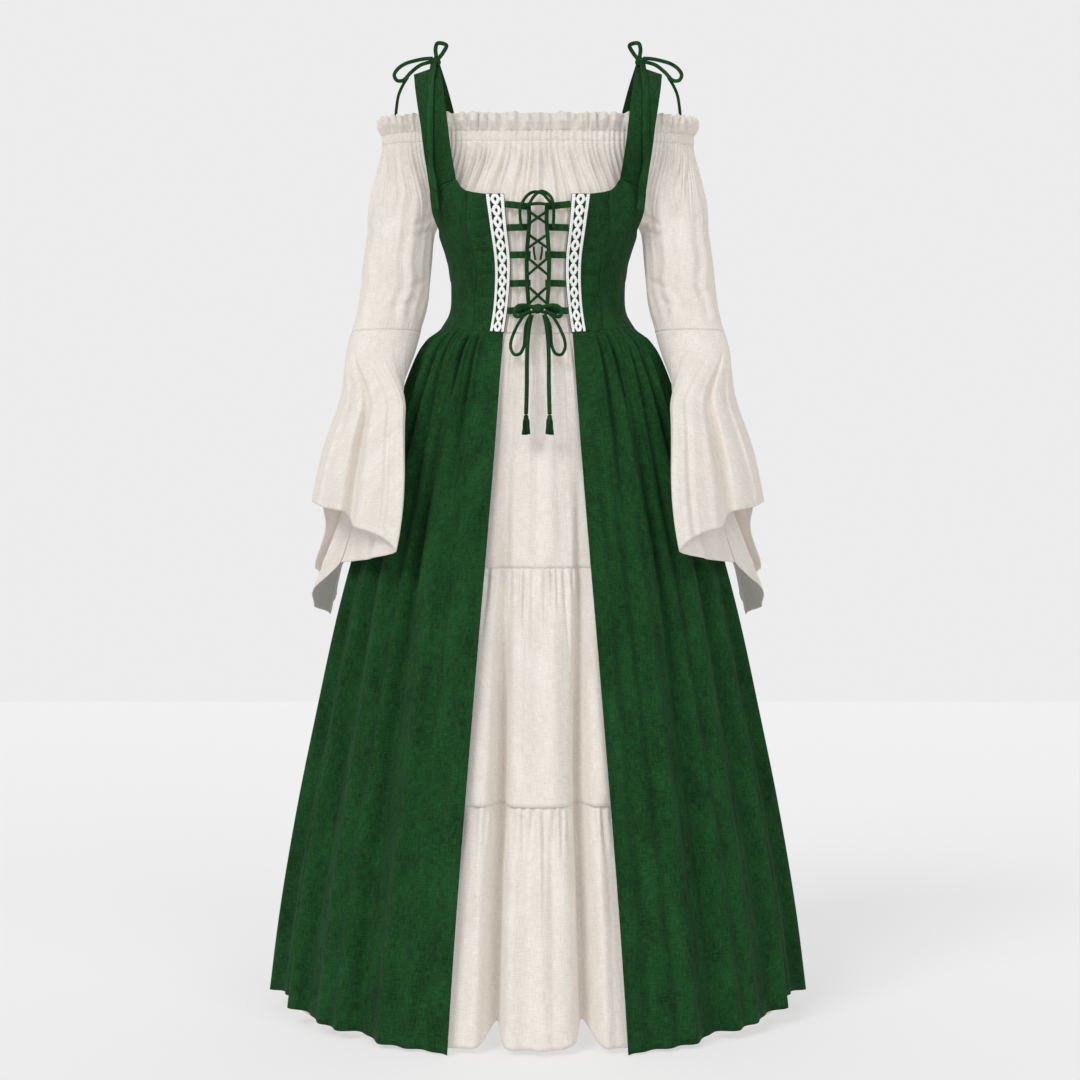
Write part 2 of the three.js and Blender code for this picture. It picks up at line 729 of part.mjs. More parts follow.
function straps() {
  addPair('strap_front', strapFront, CLOTH, GREEN);
  addPair('strap_back', strapBack, CLOTH, GREEN);
}

// Shoulder ties: a knot with two loops, an outer tail and a front tail
const KNOT = { place: new THREE.Vector3(152, -26, 5.3), wide: 15, deep: 12, tall: 14 };
const TIE_UPPER = [
  [151, -29, 12], [152, -30, 24], [149, -30, 32], [136, -30, 29], [141, -30, 18], [148, -30, 9],
];
const TIE_OUTER = [
  [156, -29, 10], [168, -30, 9], [182, -31, 6], [197, -32, 1], [208, -33, -7], [213, -33, -16],
  [209, -34, -24], [200, -34, -24], [188, -34, -12], [174, -33, -1], [157, -30, 5],
];
const TAIL_OUTER = [
  [193, -31.8, -18.7], [200, -29.5, -29], [207, -25, -43], [211, -19, -63], [213, -12, -84],
  [213.5, -8, -98],
];
// The front tail lies down the front strap, then on the bodice
const TAIL_START = [155, -32.8, 1.5];
const TAIL_ON_STRAP = [
  { row: 5, share: 0.4, lift: 3 },
  { row: 4, share: 0.52, lift: 3 },
  { row: 3, share: 0.62, lift: 3 },
  { row: 2, share: 0.7, lift: 3.4 },
  { row: 1, share: 0.76, lift: 5.4 },
];
const TAIL_BELOW = [[152, -77, -186], [150.5, -69, -206], [149.5, -67, -223]];
const TAIL_FRONT = new THREE.Vector3(0.31, -0.95, 0).normalize();

function frontTailPath() {
  const points = vectors([TAIL_START]);
  for (const { row, share, lift } of TAIL_ON_STRAP) {
    const [inner, , outer] = strapFront[row];
    points.push(inner.p.clone().lerp(outer.p, share).addScaledVector(inner.n, lift));
  }
  return [...points, ...vectors(TAIL_BELOW)];
}

function vectors(points) {
  return points.map(([x, y, z]) => new THREE.Vector3(x, y, z));
}

function bothSides(name, geometry, material) {
  add(`${name}_right`, geometry, material);
  add(`${name}_left`, mirroredGeometry(geometry), material);
}

function shoulderTies() {
  const bow = joined([
    knotGeometry(KNOT.place, { x: KNOT.wide, y: KNOT.deep, z: KNOT.tall }),
    tapeGeometry(vectors(TIE_UPPER), 6, 2, 10),
    tapeGeometry(vectors(TIE_OUTER), 5.5, 2, 14),
  ]);
  bothSides('shoulder_bow', bow, GREEN);
  bothSides('shoulder_tail_out', tapeGeometry(vectors(TAIL_OUTER), 4.5, 1.8, 8), GREEN);
  bothSides('shoulder_tail_front', tapeGeometry(frontTailPath(), 10, 1.8, 14, TAIL_FRONT), GREEN);
}

// Lace beside the opening: a row of rings between two corded edges. It lies on
// the front panel's own points, moved out.
function lacePoint(across, down, lift) {
  const place = Math.min(down, 0.99999) * (BODICE_LEVELS.length - 1);
  const i = Math.floor(place);
  const share = place - i;
  const at = (row) => bodiceFront[row][0].p.clone().lerp(bodiceFront[row][1].p, across);
  const n = bodiceFront[i][0].n.clone().add(bodiceFront[i][1].n).normalize();
  return at(i).lerp(at(i + 1), share).addScaledVector(n, lift);
}

function polygon(points) {
  const shape = new THREE.Shape();
  points.forEach(([x, y], i) => (i === 0 ? shape.moveTo(x, y) : shape.lineTo(x, y)));
  return shape;
}

// A closed plate from flat shapes that share whole edges. The function place
// turns a flat point into a place in space, on the lower (0) or upper (1) face.
function plateGeometry(shapes, place) {
  const points = [];
  const known = new Map();
  const faces = [];
  for (const shape of shapes) {
    const flat = new THREE.ShapeGeometry(shape);
    const at = flat.getAttribute('position');
    const numbers = [];
    for (let i = 0; i < at.count; i += 1) {
      const key = `${Math.round(at.getX(i) * 1e5)},${Math.round(at.getY(i) * 1e5)}`;
      if (!known.has(key)) {
        known.set(key, points.length);
        points.push([at.getX(i), at.getY(i)]);
      }
      numbers.push(known.get(key));
    }
    for (const i of flat.getIndex().array) faces.push(numbers[i]);
  }
  const count = points.length;
  const edges = new Set();
  for (let i = 0; i < faces.length; i += 3) {
    for (let k = 0; k < 3; k += 1) edges.add(`${faces[i + k]},${faces[i + (k + 1) % 3]}`);
  }
  const all = [];
  for (let i = 0; i < faces.length; i += 3) {
    const [p, q, r] = [faces[i], faces[i + 1], faces[i + 2]];
    all.push(p + count, q + count, r + count, r, q, p);
  }
  for (const edge of edges) {
    const [p, q] = edge.split(',').map(Number);
    if (edges.has(`${q},${p}`)) continue;
    all.push(p, q, q + count, p, q + count, p + count);
  }
  const places = [];
  for (const face of [0, 1]) {
    for (const [x, y] of points) places.push(...place(x, y, face).toArray());
  }
  const geometry = new THREE.BufferGeometry();
  geometry.setAttribute('position', new THREE.Float32BufferAttribute(places, 3));
  geometry.setIndex(all);
  return facingOut(geometry);
}

function laces() {
  const pitch = 1 / LACE_RINGS;
  const eyeWide = 0.085;
  const eyeTall = 0.22 * pitch;
  const thick = 1;
  const lift = 0.6;
  const cells = [];
  for (let i = 0; i <= LACE_RINGS; i += 1) {
    const low = Math.max(0.004, (i - 0.5) * pitch);
    const high = Math.min(0.996, (i + 0.5) * pitch);
    const outline = [[0, low]];
    if (i > 0) outline.push([0.5 - eyeWide, low], [0.5, low + eyeTall], [0.5 + eyeWide, low]);
    outline.push([1, low], [1, high]);
    if (i < LACE_RINGS) {
      outline.push([0.5 + eyeWide, high], [0.5, high - eyeTall], [0.5 - eyeWide, high]);
    }
    outline.push([0, high]);
    const cell = polygon(outline);
    if (i > 0 && i < LACE_RINGS) {
      for (const side of [-1, 1]) {
        cell.holes.push(polygon([
          [0.5 + side * 0.34, (i - 0.34) * pitch],
          [0.5 + side * 0.34, (i + 0.34) * pitch],
          [0.5 + side * 0.11, i * pitch],
        ]));
      }
    }
    cells.push(cell);
  }
  const lace = plateGeometry(cells, (x, y, face) => lacePoint(x, y, lift + thick * face));
  bothSides('lace', lace, WHITE);
}

// Fabric loops and lacing. Places on the front are given by x, z and lift.
function onFront(x, z, lift) {
  const oval = bodyOval(z, 0);
  const y = -oval.front * Math.sqrt(1 - (x / oval.half) ** 2);
  return new THREE.Vector3(x, y - lift, z);
}

function frontPath(points) {
  return points.map(([x, z, lift]) => onFront(x, z, lift));
}

const LOOPS = [
  { edge: -222, inner: -227 },
  { edge: -256, inner: -256 },
  { edge: -294, inner: -294 },
  { edge: -334, inner: -334 },
  { edge: -373, inner: -373 },
];

function fabricLoops() {
  const tall = 10;
  const thick = 2.4;
  LOOPS.forEach(({ edge, inner }, k) => {
    const start = curve(PANELS, 'z', edge, 'edge') - SEAM - 0.4;
    const rows = [0, 0.5, 1].map((share) => {
      const x = mix(start, 10.5, share);
      const z = mix(edge, inner, share);
      return [tall / 2, -tall / 2].map((up) => ({
        p: onFront(x, z + up, thick - 0.4),
        n: new THREE.Vector3(0, -1, 0),
      }));
    });
    bothSides(`loop_${k + 1}`, wallGeometry(rows, thick, false), GREEN);
  });
}

const SIDE_CORD = [
  [13, -222, 5.6], [12.5, -250, 5.6], [14.5, -276, 5.6], [16, -300, 5.6],
  [15.5, -334, 5.6], [14, -356, 5.6], [13, -369, 5.6],
];
const CROSSINGS = [
  { z: -243, wide: 8, tall: 5.5 },
  { z: -276, wide: 9.6, tall: 6.5 },
  { z: -311, wide: 11, tall: 9 },
  { z: -352, wide: 9.2, tall: 8.5 },
];
const UPPER_ARCH = [
  [-24, -258, 11.5], [-25.5, -232, 11.5], [-22, -222, 11.5], [-15, -212, 11.5],
  [-6, -207, 11.5], [6, -209, 11.5], [13, -216, 11.5], [19, -224, 11.5],
];
const UPPER_LOOP = [
  [-13, -226, 11.5], [-6, -214, 12.2], [4, -206, 12.2], [13, -209, 12.2],
  [20, -217, 11.5], [22.5, -234, 11.5], [22, -258, 11.5],
];
const UPPER_BAR = [[-16, -226, 11.5], [0, -224, 11.5], [18, -226, 11.5]];
const UPPER_TAIL = [[6, -283.3, 4], [5.5, -292, 4], [3.5, -302, 4]];
const LOWER_KNOT = { x: 0, z: -372 };
const LOWER_CURL = [
  [3, -371, 11], [14, -368, 12], [28, -368, 12], [34, -376, 12], [31, -383, 12],
  [22, -381, 12], [10, -375, 12],
];
const LOWER_LOOP = [
  [5, -376, 11], [18, -380, 12], [27, -392, 12], [33, -404, 12], [38, -418, 12],
  [38.5, -432, 12], [33, -441, 12], [26, -440, 12], [20.5, -430, 12], [18.5, -412, 12],
  [17, -396, 12], [10, -380, 11],
];
const LOWER_TAIL = [
  [9, -382, 16.6], [12, -396, 17.3], [14.5, -420, 17.6], [15.5, -450, 16],
  [15.5, -480, 15], [16, -510, 15], [16.5, -528, 15],
];
const TASSEL_LENGTH = 29;

function lacing() {
  bothSides('lacing_side', cordGeometry(frontPath(SIDE_CORD), 6, 10, 8), GREEN);
  CROSSINGS.forEach(({ z, wide, tall }, k) => {
    const strands = [-1, 1].map((slant) => cordGeometry(
      frontPath([[-wide, z - slant * tall, 5], [0, z, 5 + slant], [wide, z + slant * tall, 5]]),
      4,
      4,
      6,
    ));
    add(`lacing_cross_${k + 1}`, joined(strands), GREEN);
  });
  add('upper_bow', joined([
    cordGeometry(frontPath(UPPER_ARCH), 4.6, 12, 6),
    cordGeometry(frontPath(UPPER_LOOP), 4.6, 11, 6),
    cordGeometry(frontPath(UPPER_BAR), 4.6, 3, 6),
  ]), GREEN);
  bothSides('upper_tail', cordGeometry(frontPath(UPPER_TAIL), 3.2, 3, 6), GREEN);
}

function lowerBow() {
  const flip = (points) => points.map(([x, z, lift]) => [-x, z, lift]);
  const knot = onFront(LOWER_KNOT.x, LOWER_KNOT.z, 11);
  add('lower_bow', joined([
    knotGeometry(knot, { x: 17, y: 10, z: 14 }),
    cordGeometry(frontPath(LOWER_CURL), 6, 8, 6),
    cordGeometry(frontPath(flip(LOWER_CURL)), 6, 8, 6),
    cordGeometry(frontPath(LOWER_LOOP), 4.6, 14, 6),
    cordGeometry(frontPath(flip(LOWER_LOOP)), 4.6, 14, 6),
  ]), GREEN);
  bothSides('lower_tail', cordGeometry(tailPath(), 6, 10, 8), GREEN);
}

// The tails hang free, just clear of the skirt
function tailPath() {
  return frontPath(LOWER_TAIL);
}

function tassels() {
  const strands = 10;
  const end = tailPath()[LOWER_TAIL.length - 1];
  const top = end.z - 1.4;
  const head = new THREE.CylinderGeometry(3.1, 4.2, 8, 8);
  head.rotateX(Math.PI / 2);
  head.translate(end.x, end.y, top - 4);
  const parts = [head];
  for (let k = 0; k < strands; k += 1) {
    const turn = (k / strands) * 2 * Math.PI;
    const lock = new THREE.CylinderGeometry(0.9, 1.1, TASSEL_LENGTH - 5, 4);
    lock.rotateX(Math.PI / 2);
    const out = (k % 2 ? 2.6 : 3.0);
    const place = lock.getAttribute('position');
    for (let i = 0; i < place.count; i += 1) {
      const down = (place.getZ(i) - (TASSEL_LENGTH - 5) / 2) / (TASSEL_LENGTH - 5);
      const spread = out + Math.abs(down) * 3.4;
      place.setXYZ(
        i,
        place.getX(i) + end.x + spread * Math.cos(turn),
        place.getY(i) + end.y + spread * Math.sin(turn),
        top - 5 + down * (TASSEL_LENGTH - 5),
      );
    }
    parts.push(merged(lock));
  }
  bothSides('tassel', joined(parts), GREEN);
}

neckFrill();
neckBand();
chemiseBody('chemise_front', 1, 36, 1.6);
chemiseBody('chemise_back', -1, 18, 1.2);
sleeves();
bells();
underskirt();
overskirt();
bodice();
straps();
shoulderTies();
laces();
fabricLoops();
lacing();
lowerBow();
tassels();

export default gown;
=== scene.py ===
"""A medieval gown: an off-shoulder chemise under an open-fronted, laced overdress.

Sizes are in millimetres, as in the solids, and turned into metres as each mesh is made.
+X is to the right, the front faces -Y and +Z is up. Angle 0 is the middle of the front and
90 the side at +X.
"""
import json

import bpy
import numpy as np
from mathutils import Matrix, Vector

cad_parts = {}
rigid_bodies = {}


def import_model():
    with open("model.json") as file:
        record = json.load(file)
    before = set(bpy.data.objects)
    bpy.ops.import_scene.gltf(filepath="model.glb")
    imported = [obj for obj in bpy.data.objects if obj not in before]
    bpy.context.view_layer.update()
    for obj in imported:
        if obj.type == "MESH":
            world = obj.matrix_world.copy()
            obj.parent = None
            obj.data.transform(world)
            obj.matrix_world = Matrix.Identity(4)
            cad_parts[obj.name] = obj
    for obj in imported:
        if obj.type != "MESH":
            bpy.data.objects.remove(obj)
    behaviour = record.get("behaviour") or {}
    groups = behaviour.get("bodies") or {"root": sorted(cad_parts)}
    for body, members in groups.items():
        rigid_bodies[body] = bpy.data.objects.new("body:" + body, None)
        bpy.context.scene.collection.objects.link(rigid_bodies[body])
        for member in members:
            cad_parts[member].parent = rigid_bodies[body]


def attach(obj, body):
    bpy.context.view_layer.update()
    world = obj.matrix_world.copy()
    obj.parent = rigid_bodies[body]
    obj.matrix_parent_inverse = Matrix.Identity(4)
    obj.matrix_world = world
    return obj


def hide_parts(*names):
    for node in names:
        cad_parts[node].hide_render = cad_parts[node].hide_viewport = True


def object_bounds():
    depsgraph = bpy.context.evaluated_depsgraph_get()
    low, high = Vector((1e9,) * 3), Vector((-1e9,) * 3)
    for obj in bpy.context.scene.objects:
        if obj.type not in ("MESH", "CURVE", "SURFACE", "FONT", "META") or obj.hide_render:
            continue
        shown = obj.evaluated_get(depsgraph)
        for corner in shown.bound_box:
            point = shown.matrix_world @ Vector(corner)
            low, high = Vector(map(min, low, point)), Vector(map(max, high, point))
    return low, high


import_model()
cad_low, cad_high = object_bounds()

MM = 0.001
CLOTH = 1.6
LINEN = 1.2
SEAM = 0.3
CHEMISE_EASE = 5.7
UNDERSKIRT_EASE = 24
HEM_Z = -1378
WAIST_SIDE_Z = -387
WAIST_FRONT_DIP = 20
WAIST_BACK_DIP = 8
FRILL_WAVES = 40
LACE_RINGS = 12


def table(names, rows):
    """The rows of a table as one array for each named column."""
    return {name: np.array(column, float) for name, column in zip(names.split(), zip(*rows))}


# The overdress, outer face
BODY = table("z half front back", [
    (-160, 179, 106, 92),
    (-194, 176, 114, 96),
    (-207, 172, 116, 97),
    (-225, 164, 119, 98),
    (-243, 151, 120, 98),
    (-255, 147, 119, 96),
    (-279, 139, 114, 91),
    (-303, 133.5, 108, 87),
    (-333, 130, 102, 84),
    (-363, 132, 100, 88),
    (-387, 144, 102, 95),
    (-411, 163, 110, 110),
    (-435, 177, 127, 125),
    (-495, 202, 153, 149),
    (-570, 227, 180, 176),
    (-645, 250, 204, 200),
    (-735, 276, 230, 227),
    (-825, 299, 252, 252),
    (-945, 325, 275, 283),
    (-1095, 355, 305, 318),
    (-1245, 380, 330, 346),
    (-1390, 398, 346, 364),
])

# Half distances from the middle of the front to the opening's edge, to the far edge of the
# lace and to the princess seam
PANELS = table("z edge lace princess", [
    (-182, 50, 76, 104),
    (-205, 49, 75, 104),
    (-249, 45.5, 69, 104),
    (-305, 40, 62, 91),
    (-360, 43, 63.5, 93),
    (-412, 50, 70.5, 97),
])

# Top edge of the bodice: neckline, front strap, armhole, back strap, back neck
BODICE_TOP = table("angle z", [
    (15, -206),
    (26, -205),
    (33, -201),
    (37, -197.5),
    (40, -191),
    (42.5, -180),
    (64.6, -192),
    (66.5, -207),
    (70.5, -227),
    (78, -245),
    (90, -254),
    (102, -245),
    (110, -226),
    (116, -194),
    (124, -176),
    (144, -172),
    (151, -184),
    (180, -187),
])

# Soft folds of the overskirt on one side: place at the waist and at the hem, width, depth
# and the height at which each one starts
SKIRT_FOLDS = [
    (27, 24, 5.5, 13, -405),
    (43, 39, 6.5, 16, -400),
    (57, 54, 5.0, 11, -430),
    (72, 71, 6.0, 15, -400),
    (88, 88, 6.0, 12, -410),
    (103, 104, 6.5, 15, -400),
    (119, 120, 5.5, 12, -420),
    (136, 137, 6.5, 16, -400),
    (153, 153, 6.0, 13, -410),
    (170, 170, 6.0, 12, -420),
]

SKIRT_HEM = table("angle z", [
    (0, -1387),
    (18, -1387),
    (35, -1381),
    (50, -1372),
    (62, -1363),
    (76, -1361),
    (90, -1367),
    (120, -1374),
    (180, -1379),
])

# Folds of the underskirt that show in the front opening
TIER_FOLDS = [
    (-13, -9, 2.6, 16, -620),
    (11, 8.5, 2.8, 18, -620),
    (34, 34, 5, 12, -620),
    (-34, -34, 5, 12, -620),
]

RING = (233, 85, 80)
FRILL_SIDE_Z = -101
FRILL_FRONT_DIP = 8
FRILL_BACK_DIP = 5
FRILL_HEIGHT = 25
BAND_HEIGHT = 15
RAGLAN_X = 148
UNDERARM_Z = -228
SLEEVE_SEAM_Z = -398

SLEEVE = table("z x y half deep", [
    (-100, 201.5, 0, 54, 56),
    (-228, 202.5, 0, 53, 50),
    (-248, 206, -3, 50, 50),
    (-291, 210.5, -9, 50.5, 52),
    (-345, 214.5, -20, 50.5, 50),
    (-398, 225, -35, 51, 48),
    (-470, 241, -68, 57, 46),
    (-850, 270, -120, 60, 40),
])

# The bell wraps round the skirt: middle and half reach of its angle, and the middle and
# half reach of its distance from the skirt
BELL = table("z angle reach away swell", [
    (-398, 72, 18, 54, 44),
    (-500, 72, 25, 54, 38),
    (-620, 73, 34, 54, 38),
    (-720, 75, 36, 48, 30),
    (-780, 77, 34, 47, 22),
    (-850, 80, 32, 44, 13),
])

BELL_HEM = table("turn z", [
    (0.00, -738),
    (0.12, -732),
    (0.25, -719),
    (0.33, -699),
    (0.392, -686),
    (0.408, -665),
    (0.50, -650),
    (0.56, -643),
    (0.61, -748),
    (0.67, -762),
    (0.74, -796),
    (0.82, -820),
    (0.91, -806),
    (0.95, -778),
    (1.00, -738),
])

# The bell's rear fold, and how far the bell swings out
BELL_FOLD_TURN = 0.61
BELL_FOLD_WIDTH = 0.05
BELL_FOLD_DEPTH = 34
BELL_FOLD_START = -560
BELL_FOLD_END = -670
BELL_FOLD_RUN = 75
BELL_SWING = 7

# Tiers of the underskirt: top (None is the waist), foot, size of the gathers, flare
TIERS = {
    "tier_1": (None, -744, 1.5, 0),
    "tier_2": (-744, -1066, 2.6, 3),
    "tier_3": (-1066, -1381, 2.8, 6),
}

# Straps: inner and outer edge, from the bodice to the shoulder tie
STRAP_FRONT = [
    ((124, -91, -158), (163.5, -63, -160)),
    ((128, -97, -130), (167.5, -80, -130)),
    ((131, -99, -104), (170.5, -86, -104)),
    ((135, -91, -72), (175, -80, -76)),
    ((140, -68, -36), (180, -62, -44)),
    ((147, -25, 0), (184, -33, -15)),
]
STRAP_BACK = [
    ((107, 90, -145), (148, 76, -145)),
    ((112, 97, -118), (152, 84, -118)),
    ((118, 95, -90), (158, 84, -90)),
    ((127, 70, -56), (167, 64, -60)),
    ((137, 34, -20), (176, 32, -30)),
    ((146, -19.6, 3.5), (182, -15, -12)),
]

SHOULDER_KNOT = (152, -26, 5.3)
SHOULDER_KNOT_SIZE = (15, 12, 14)
TIE_UPPER = [
    (151, -29, 12), (152, -30, 24), (149, -30, 32), (136, -30, 29), (141, -30, 18), (148, -30, 9),
]
TIE_OUTER = [
    (156, -29, 10), (168, -30, 9), (182, -31, 6), (197, -32, 1), (208, -33, -7), (213, -33, -16),
    (209, -34, -24), (200, -34, -24), (188, -34, -12), (174, -33, -1), (157, -30, 5),
]
TAIL_OUTER = [
    (193, -31.8, -18.7), (200, -29.5, -29), (207, -25, -43), (211, -19, -63), (213, -12, -84),
    (213.5, -8, -98),
]
# The front tail: its start, its places on the strap (row, share of the width, lift) and
# those on the bodice below
TAIL_START = (155, -32.8, 1.5)
TAIL_ON_STRAP = [(5, 0.4, 3), (4, 0.52, 3), (3, 0.62, 3), (2, 0.7, 3.4), (1, 0.76, 5.4)]
TAIL_BELOW = [(152, -77, -186), (150.5, -69, -206), (149.5, -67, -223)]
TAIL_FACES = (0.31, -0.95, 0)

# Places on the front, given by x, z and lift
LOOPS = [(-222, -227), (-256, -256), (-294, -294), (-334, -334), (-373, -373)]
LOOP_INNER_X = 10.5
LOOP_TALL = 10
LOOP_THICK = 2.4
SIDE_CORD = [
    (13, -222, 5.6), (12.5, -250, 5.6), (14.5, -276, 5.6), (16, -300, 5.6),
    (15.5, -334, 5.6), (14, -356, 5.6), (13, -369, 5.6),
]
CROSSING_REACH = 3
CROSSINGS = [(-243, 8, 5.5), (-276, 9.6, 6.5), (-311, 11, 9), (-352, 9.2, 8.5)]
UPPER_ARCH = [
    (-24, -258, 11.5), (-25.5, -232, 11.5), (-22, -222, 11.5), (-15, -212, 11.5),
    (-6, -207, 11.5), (6, -209, 11.5), (13, -216, 11.5), (19, -224, 11.5),
]
UPPER_LOOP = [
    (-13, -226, 11.5), (-6, -214, 12.2), (4, -206, 12.2), (13, -209, 12.2),
    (20, -217, 11.5), (22.5, -234, 11.5), (22, -258, 11.5),
]
UPPER_BAR = [(-16, -226, 11.5), (0, -224, 11.5), (18, -226, 11.5)]
UPPER_TAIL = [(6, -283.3, 4), (5.5, -292, 4), (3.5, -302, 4)]
LOWER_KNOT = (0, -372, 11)
LOWER_KNOT_SIZE = (17, 10, 14)
LOWER_CURL = [
    (3, -371, 11), (14, -368, 12), (28, -368, 12), (34, -376, 12), (31, -383, 12),
    (22, -381, 12), (10, -375, 12),
]
LOWER_LOOP = [
    (5, -376, 11), (18, -380, 12), (27, -392, 12), (33, -404, 12), (38, -418, 12),
    (38.5, -432, 12), (33, -441, 12), (26, -440, 12), (20.5, -430, 12), (18.5, -412, 12),
    (17, -396, 12), (10, -380, 11),
]
LOWER_TAIL = [
    (9, -382, 16.6), (12, -396, 17.3), (14.5, -420, 17.6), (15.5, -450, 16),
    (15.5, -480, 15), (16, -510, 15), (16.5, -528, 15),
]
TASSEL_LENGTH = 29


def mix(a, b, share):
    return a + (b - a) * share


def ease(share):
    t = np.clip(share, 0, 1)
    return t * t * (3 - 2 * t)


def stack(*parts):
    return np.stack(np.broadcast_arrays(*parts), -1).astype(float)


def unit(vectors):
    return vectors / np.linalg.norm(vectors, axis=-1, keepdims=True)


def curve(rows, key, at, column):
    """A smooth curve through one column of a table, by the column named key."""
    order = np.argsort(rows[key])
    x = rows[key][order]
    y = rows[column][order]
    slope = np.empty_like(y)
    slope[1:-1] = (y[2:] - y[:-2]) / (x[2:] - x[:-2])
    slope[0] = (y[1] - y[0]) / (x[1] - x[0])
    slope[-1] = (y[-1] - y[-2]) / (x[-1] - x[-2])
    at = np.clip(at, x[0], x[-1])
    i = np.clip(np.searchsorted(x, at, side="right") - 1, 0, len(x) - 2)
    step = x[i + 1] - x[i]
    t = (at - x[i]) / step
    return (
        (2 * t**3 - 3 * t**2 + 1) * y[i]
        + (t**3 - 2 * t**2 + t) * step * slope[i]
        + (3 * t**2 - 2 * t**3) * y[i + 1]
        + (t**3 - t**2) * step * slope[i + 1]
    )


def on_oval(oval, angle, z, lift):
    """Points of an oval round the Z axis, moved out by lift."""
    half, front, back = oval
    across = np.sin(np.radians(angle))
    along = np.cos(np.radians(angle))
    deep = np.where(along > 0, front, back)
    outward = unit(stack(across / half, -along / deep, 0))
    return stack(half * across, -deep * along, z) + outward * stack(lift, lift, lift)


def body_oval(z, inset):
    return [curve(BODY, "z", z, column) - inset for column in ("half", "front", "back")]


def waist_z(angle):
    along = np.cos(np.radians(angle))
    return WAIST_SIDE_Z - along**2 * np.where(along > 0, WAIST_FRONT_DIP, WAIST_BACK_DIP)


def hollow(folds, angle, z, mirrored):
    """How deep the folds are at a place."""
    half = np.where(angle > 180, angle - 360, angle)
    place = np.abs(half) if mirrored else half
    depth = 0
    for waist, hem, width, deep, start in folds:
        down = ease((start - z) / (start - HEM_Z) * 1.6)
        middle = mix(waist, hem, ease((WAIST_SIDE_Z - z) / 700))
        depth = depth + deep * down * np.exp(-(((place - middle) / width) ** 2))
    return depth


def waves(at, count, seed):
    """A smooth uneven line between about -1 and 1, the same at 0 and at 1."""
    rng = np.random.default_rng(seed)
    total = 0
    for rate, size in ((0.37, 0.25), (1, 0.4), (1.63, 0.35)):
        turns = max(1, round(count * rate))
        total = total + size * np.sin(2 * np.pi * (turns * at + rng.random()))
    return total


def gathers(at, count, seed):
    """Uneven gathers: round ridges with narrow valleys between them."""
    drift = 0.42 * waves(at, count / 6, seed)
    size = 1 + 0.45 * waves(at, count / 3, seed + 1)
    ridge = np.sqrt(np.cos(np.pi * (count * at + drift)) ** 2 + 0.02)
    return size * (2 * ridge - 1.25)


def grid(rows, columns):
    """Row and column shares from 0 to 1, as a column and a row."""
    return np.linspace(0, 1, rows)[:, None], np.linspace(0, 1, columns)[None, :]


def spline(points, count):
    """Evenly spaced points on a smooth line through the given ones."""
    known = np.array(points, float)
    ends = [2 * known[0] - known[1], *known, 2 * known[-1] - known[-2]]
    fine = []
    for a, b, c, d in zip(ends, ends[1:], ends[2:], ends[3:]):
        steps = [max(np.linalg.norm(q - p) ** 0.5, 1e-6) for p, q in ((a, b), (b, c), (c, d))]
        start = (b - a) / steps[0] - (c - a) / (steps[0] + steps[1]) + (c - b) / steps[1]
        end = (c - b) / steps[1] - (d - b) / (steps[1] + steps[2]) + (d - c) / steps[2]
        start, end = start * steps[1], end * steps[1]
        t = np.linspace(0, 1, 24)[:-1, None]
        fine.append((2 * t**3 - 3 * t**2 + 1) * b + (t**3 - 2 * t**2 + t) * start
                    + (3 * t**2 - 2 * t**3) * c + (t**3 - t**2) * end)
    fine = np.concatenate([*fine, known[-1:]])
    run = np.concatenate([[0], np.cumsum(np.linalg.norm(np.diff(fine, axis=0), axis=1))])
    even = np.linspace(0, run[-1], count)
    return np.stack([np.interp(even, run, fine[:, k]) for k in range(3)], 1)


# Camera, light and stage

CAMERA_X = 0.003
CAMERA_Y = -2.75
CAMERA_Z = -0.705
SENSOR_WIDTH = 36
LENS = 61.1
STAGE_REACH = 20
STAGE_BACK = 5
BACKGROUND = 0.839
AMBIENT = 0.31
FLOOR_GLOW = 0.562


def make_camera():
    data = bpy.data.cameras.new("camera")
    data.sensor_width = SENSOR_WIDTH
    data.lens = LENS
    camera = bpy.data.objects.new("camera", data)
    camera.location = (CAMERA_X, CAMERA_Y, CAMERA_Z)
    camera.rotation_euler = (np.pi / 2, 0, 0)
    bpy.context.scene.collection.objects.link(camera)
    bpy.context.scene.camera = camera


def make_light():
    world = bpy.data.worlds.new("studio")
    world.use_nodes = True
    sky = world.node_tree.nodes["Background"]
    sky.inputs["Color"].default_value = (1, 1, 1, 1)
    sky.inputs["Strength"].default_value = AMBIENT
    bpy.context.scene.world = world
    for name, turn, strength, spread in (
        ("key", (50, 0, -38), 1.75, 28),
        ("fill", (58, 0, 34), 0.8, 36),
    ):
        data = bpy.data.lights.new(name, "SUN")
        data.energy = strength
        data.angle = np.radians(spread)
        light = bpy.data.objects.new(name, data)
        light.rotation_euler = np.radians(turn)
        bpy.context.scene.collection.objects.link(light)


def make_plane(name, corners, material):
    """A plain sheet of the studio, which is no part of the gown."""
    mesh = bpy.data.meshes.new(name)
    mesh.from_pydata(corners, [], [(0, 1, 2, 3)])
    mesh.materials.append(material)
    plane = bpy.data.objects.new(name, mesh)
    bpy.context.scene.collection.objects.link(plane)


def make_studio():
    low = cad_low.z - 2 * MM
    far = STAGE_REACH
    back = STAGE_BACK
    floor = [(-far, -far, low), (far, -far, low), (far, back, low), (-far, back, low)]
    wall = [(-far, back, low), (far, back, low), (far, back, far), (-far, back, far)]
    make_plane("floor", floor, plain_material("pale_floor", 0.3, FLOOR_GLOW))
    make_plane("backdrop", wall, plain_material("pale_backdrop", 0, BACKGROUND))


# Materials

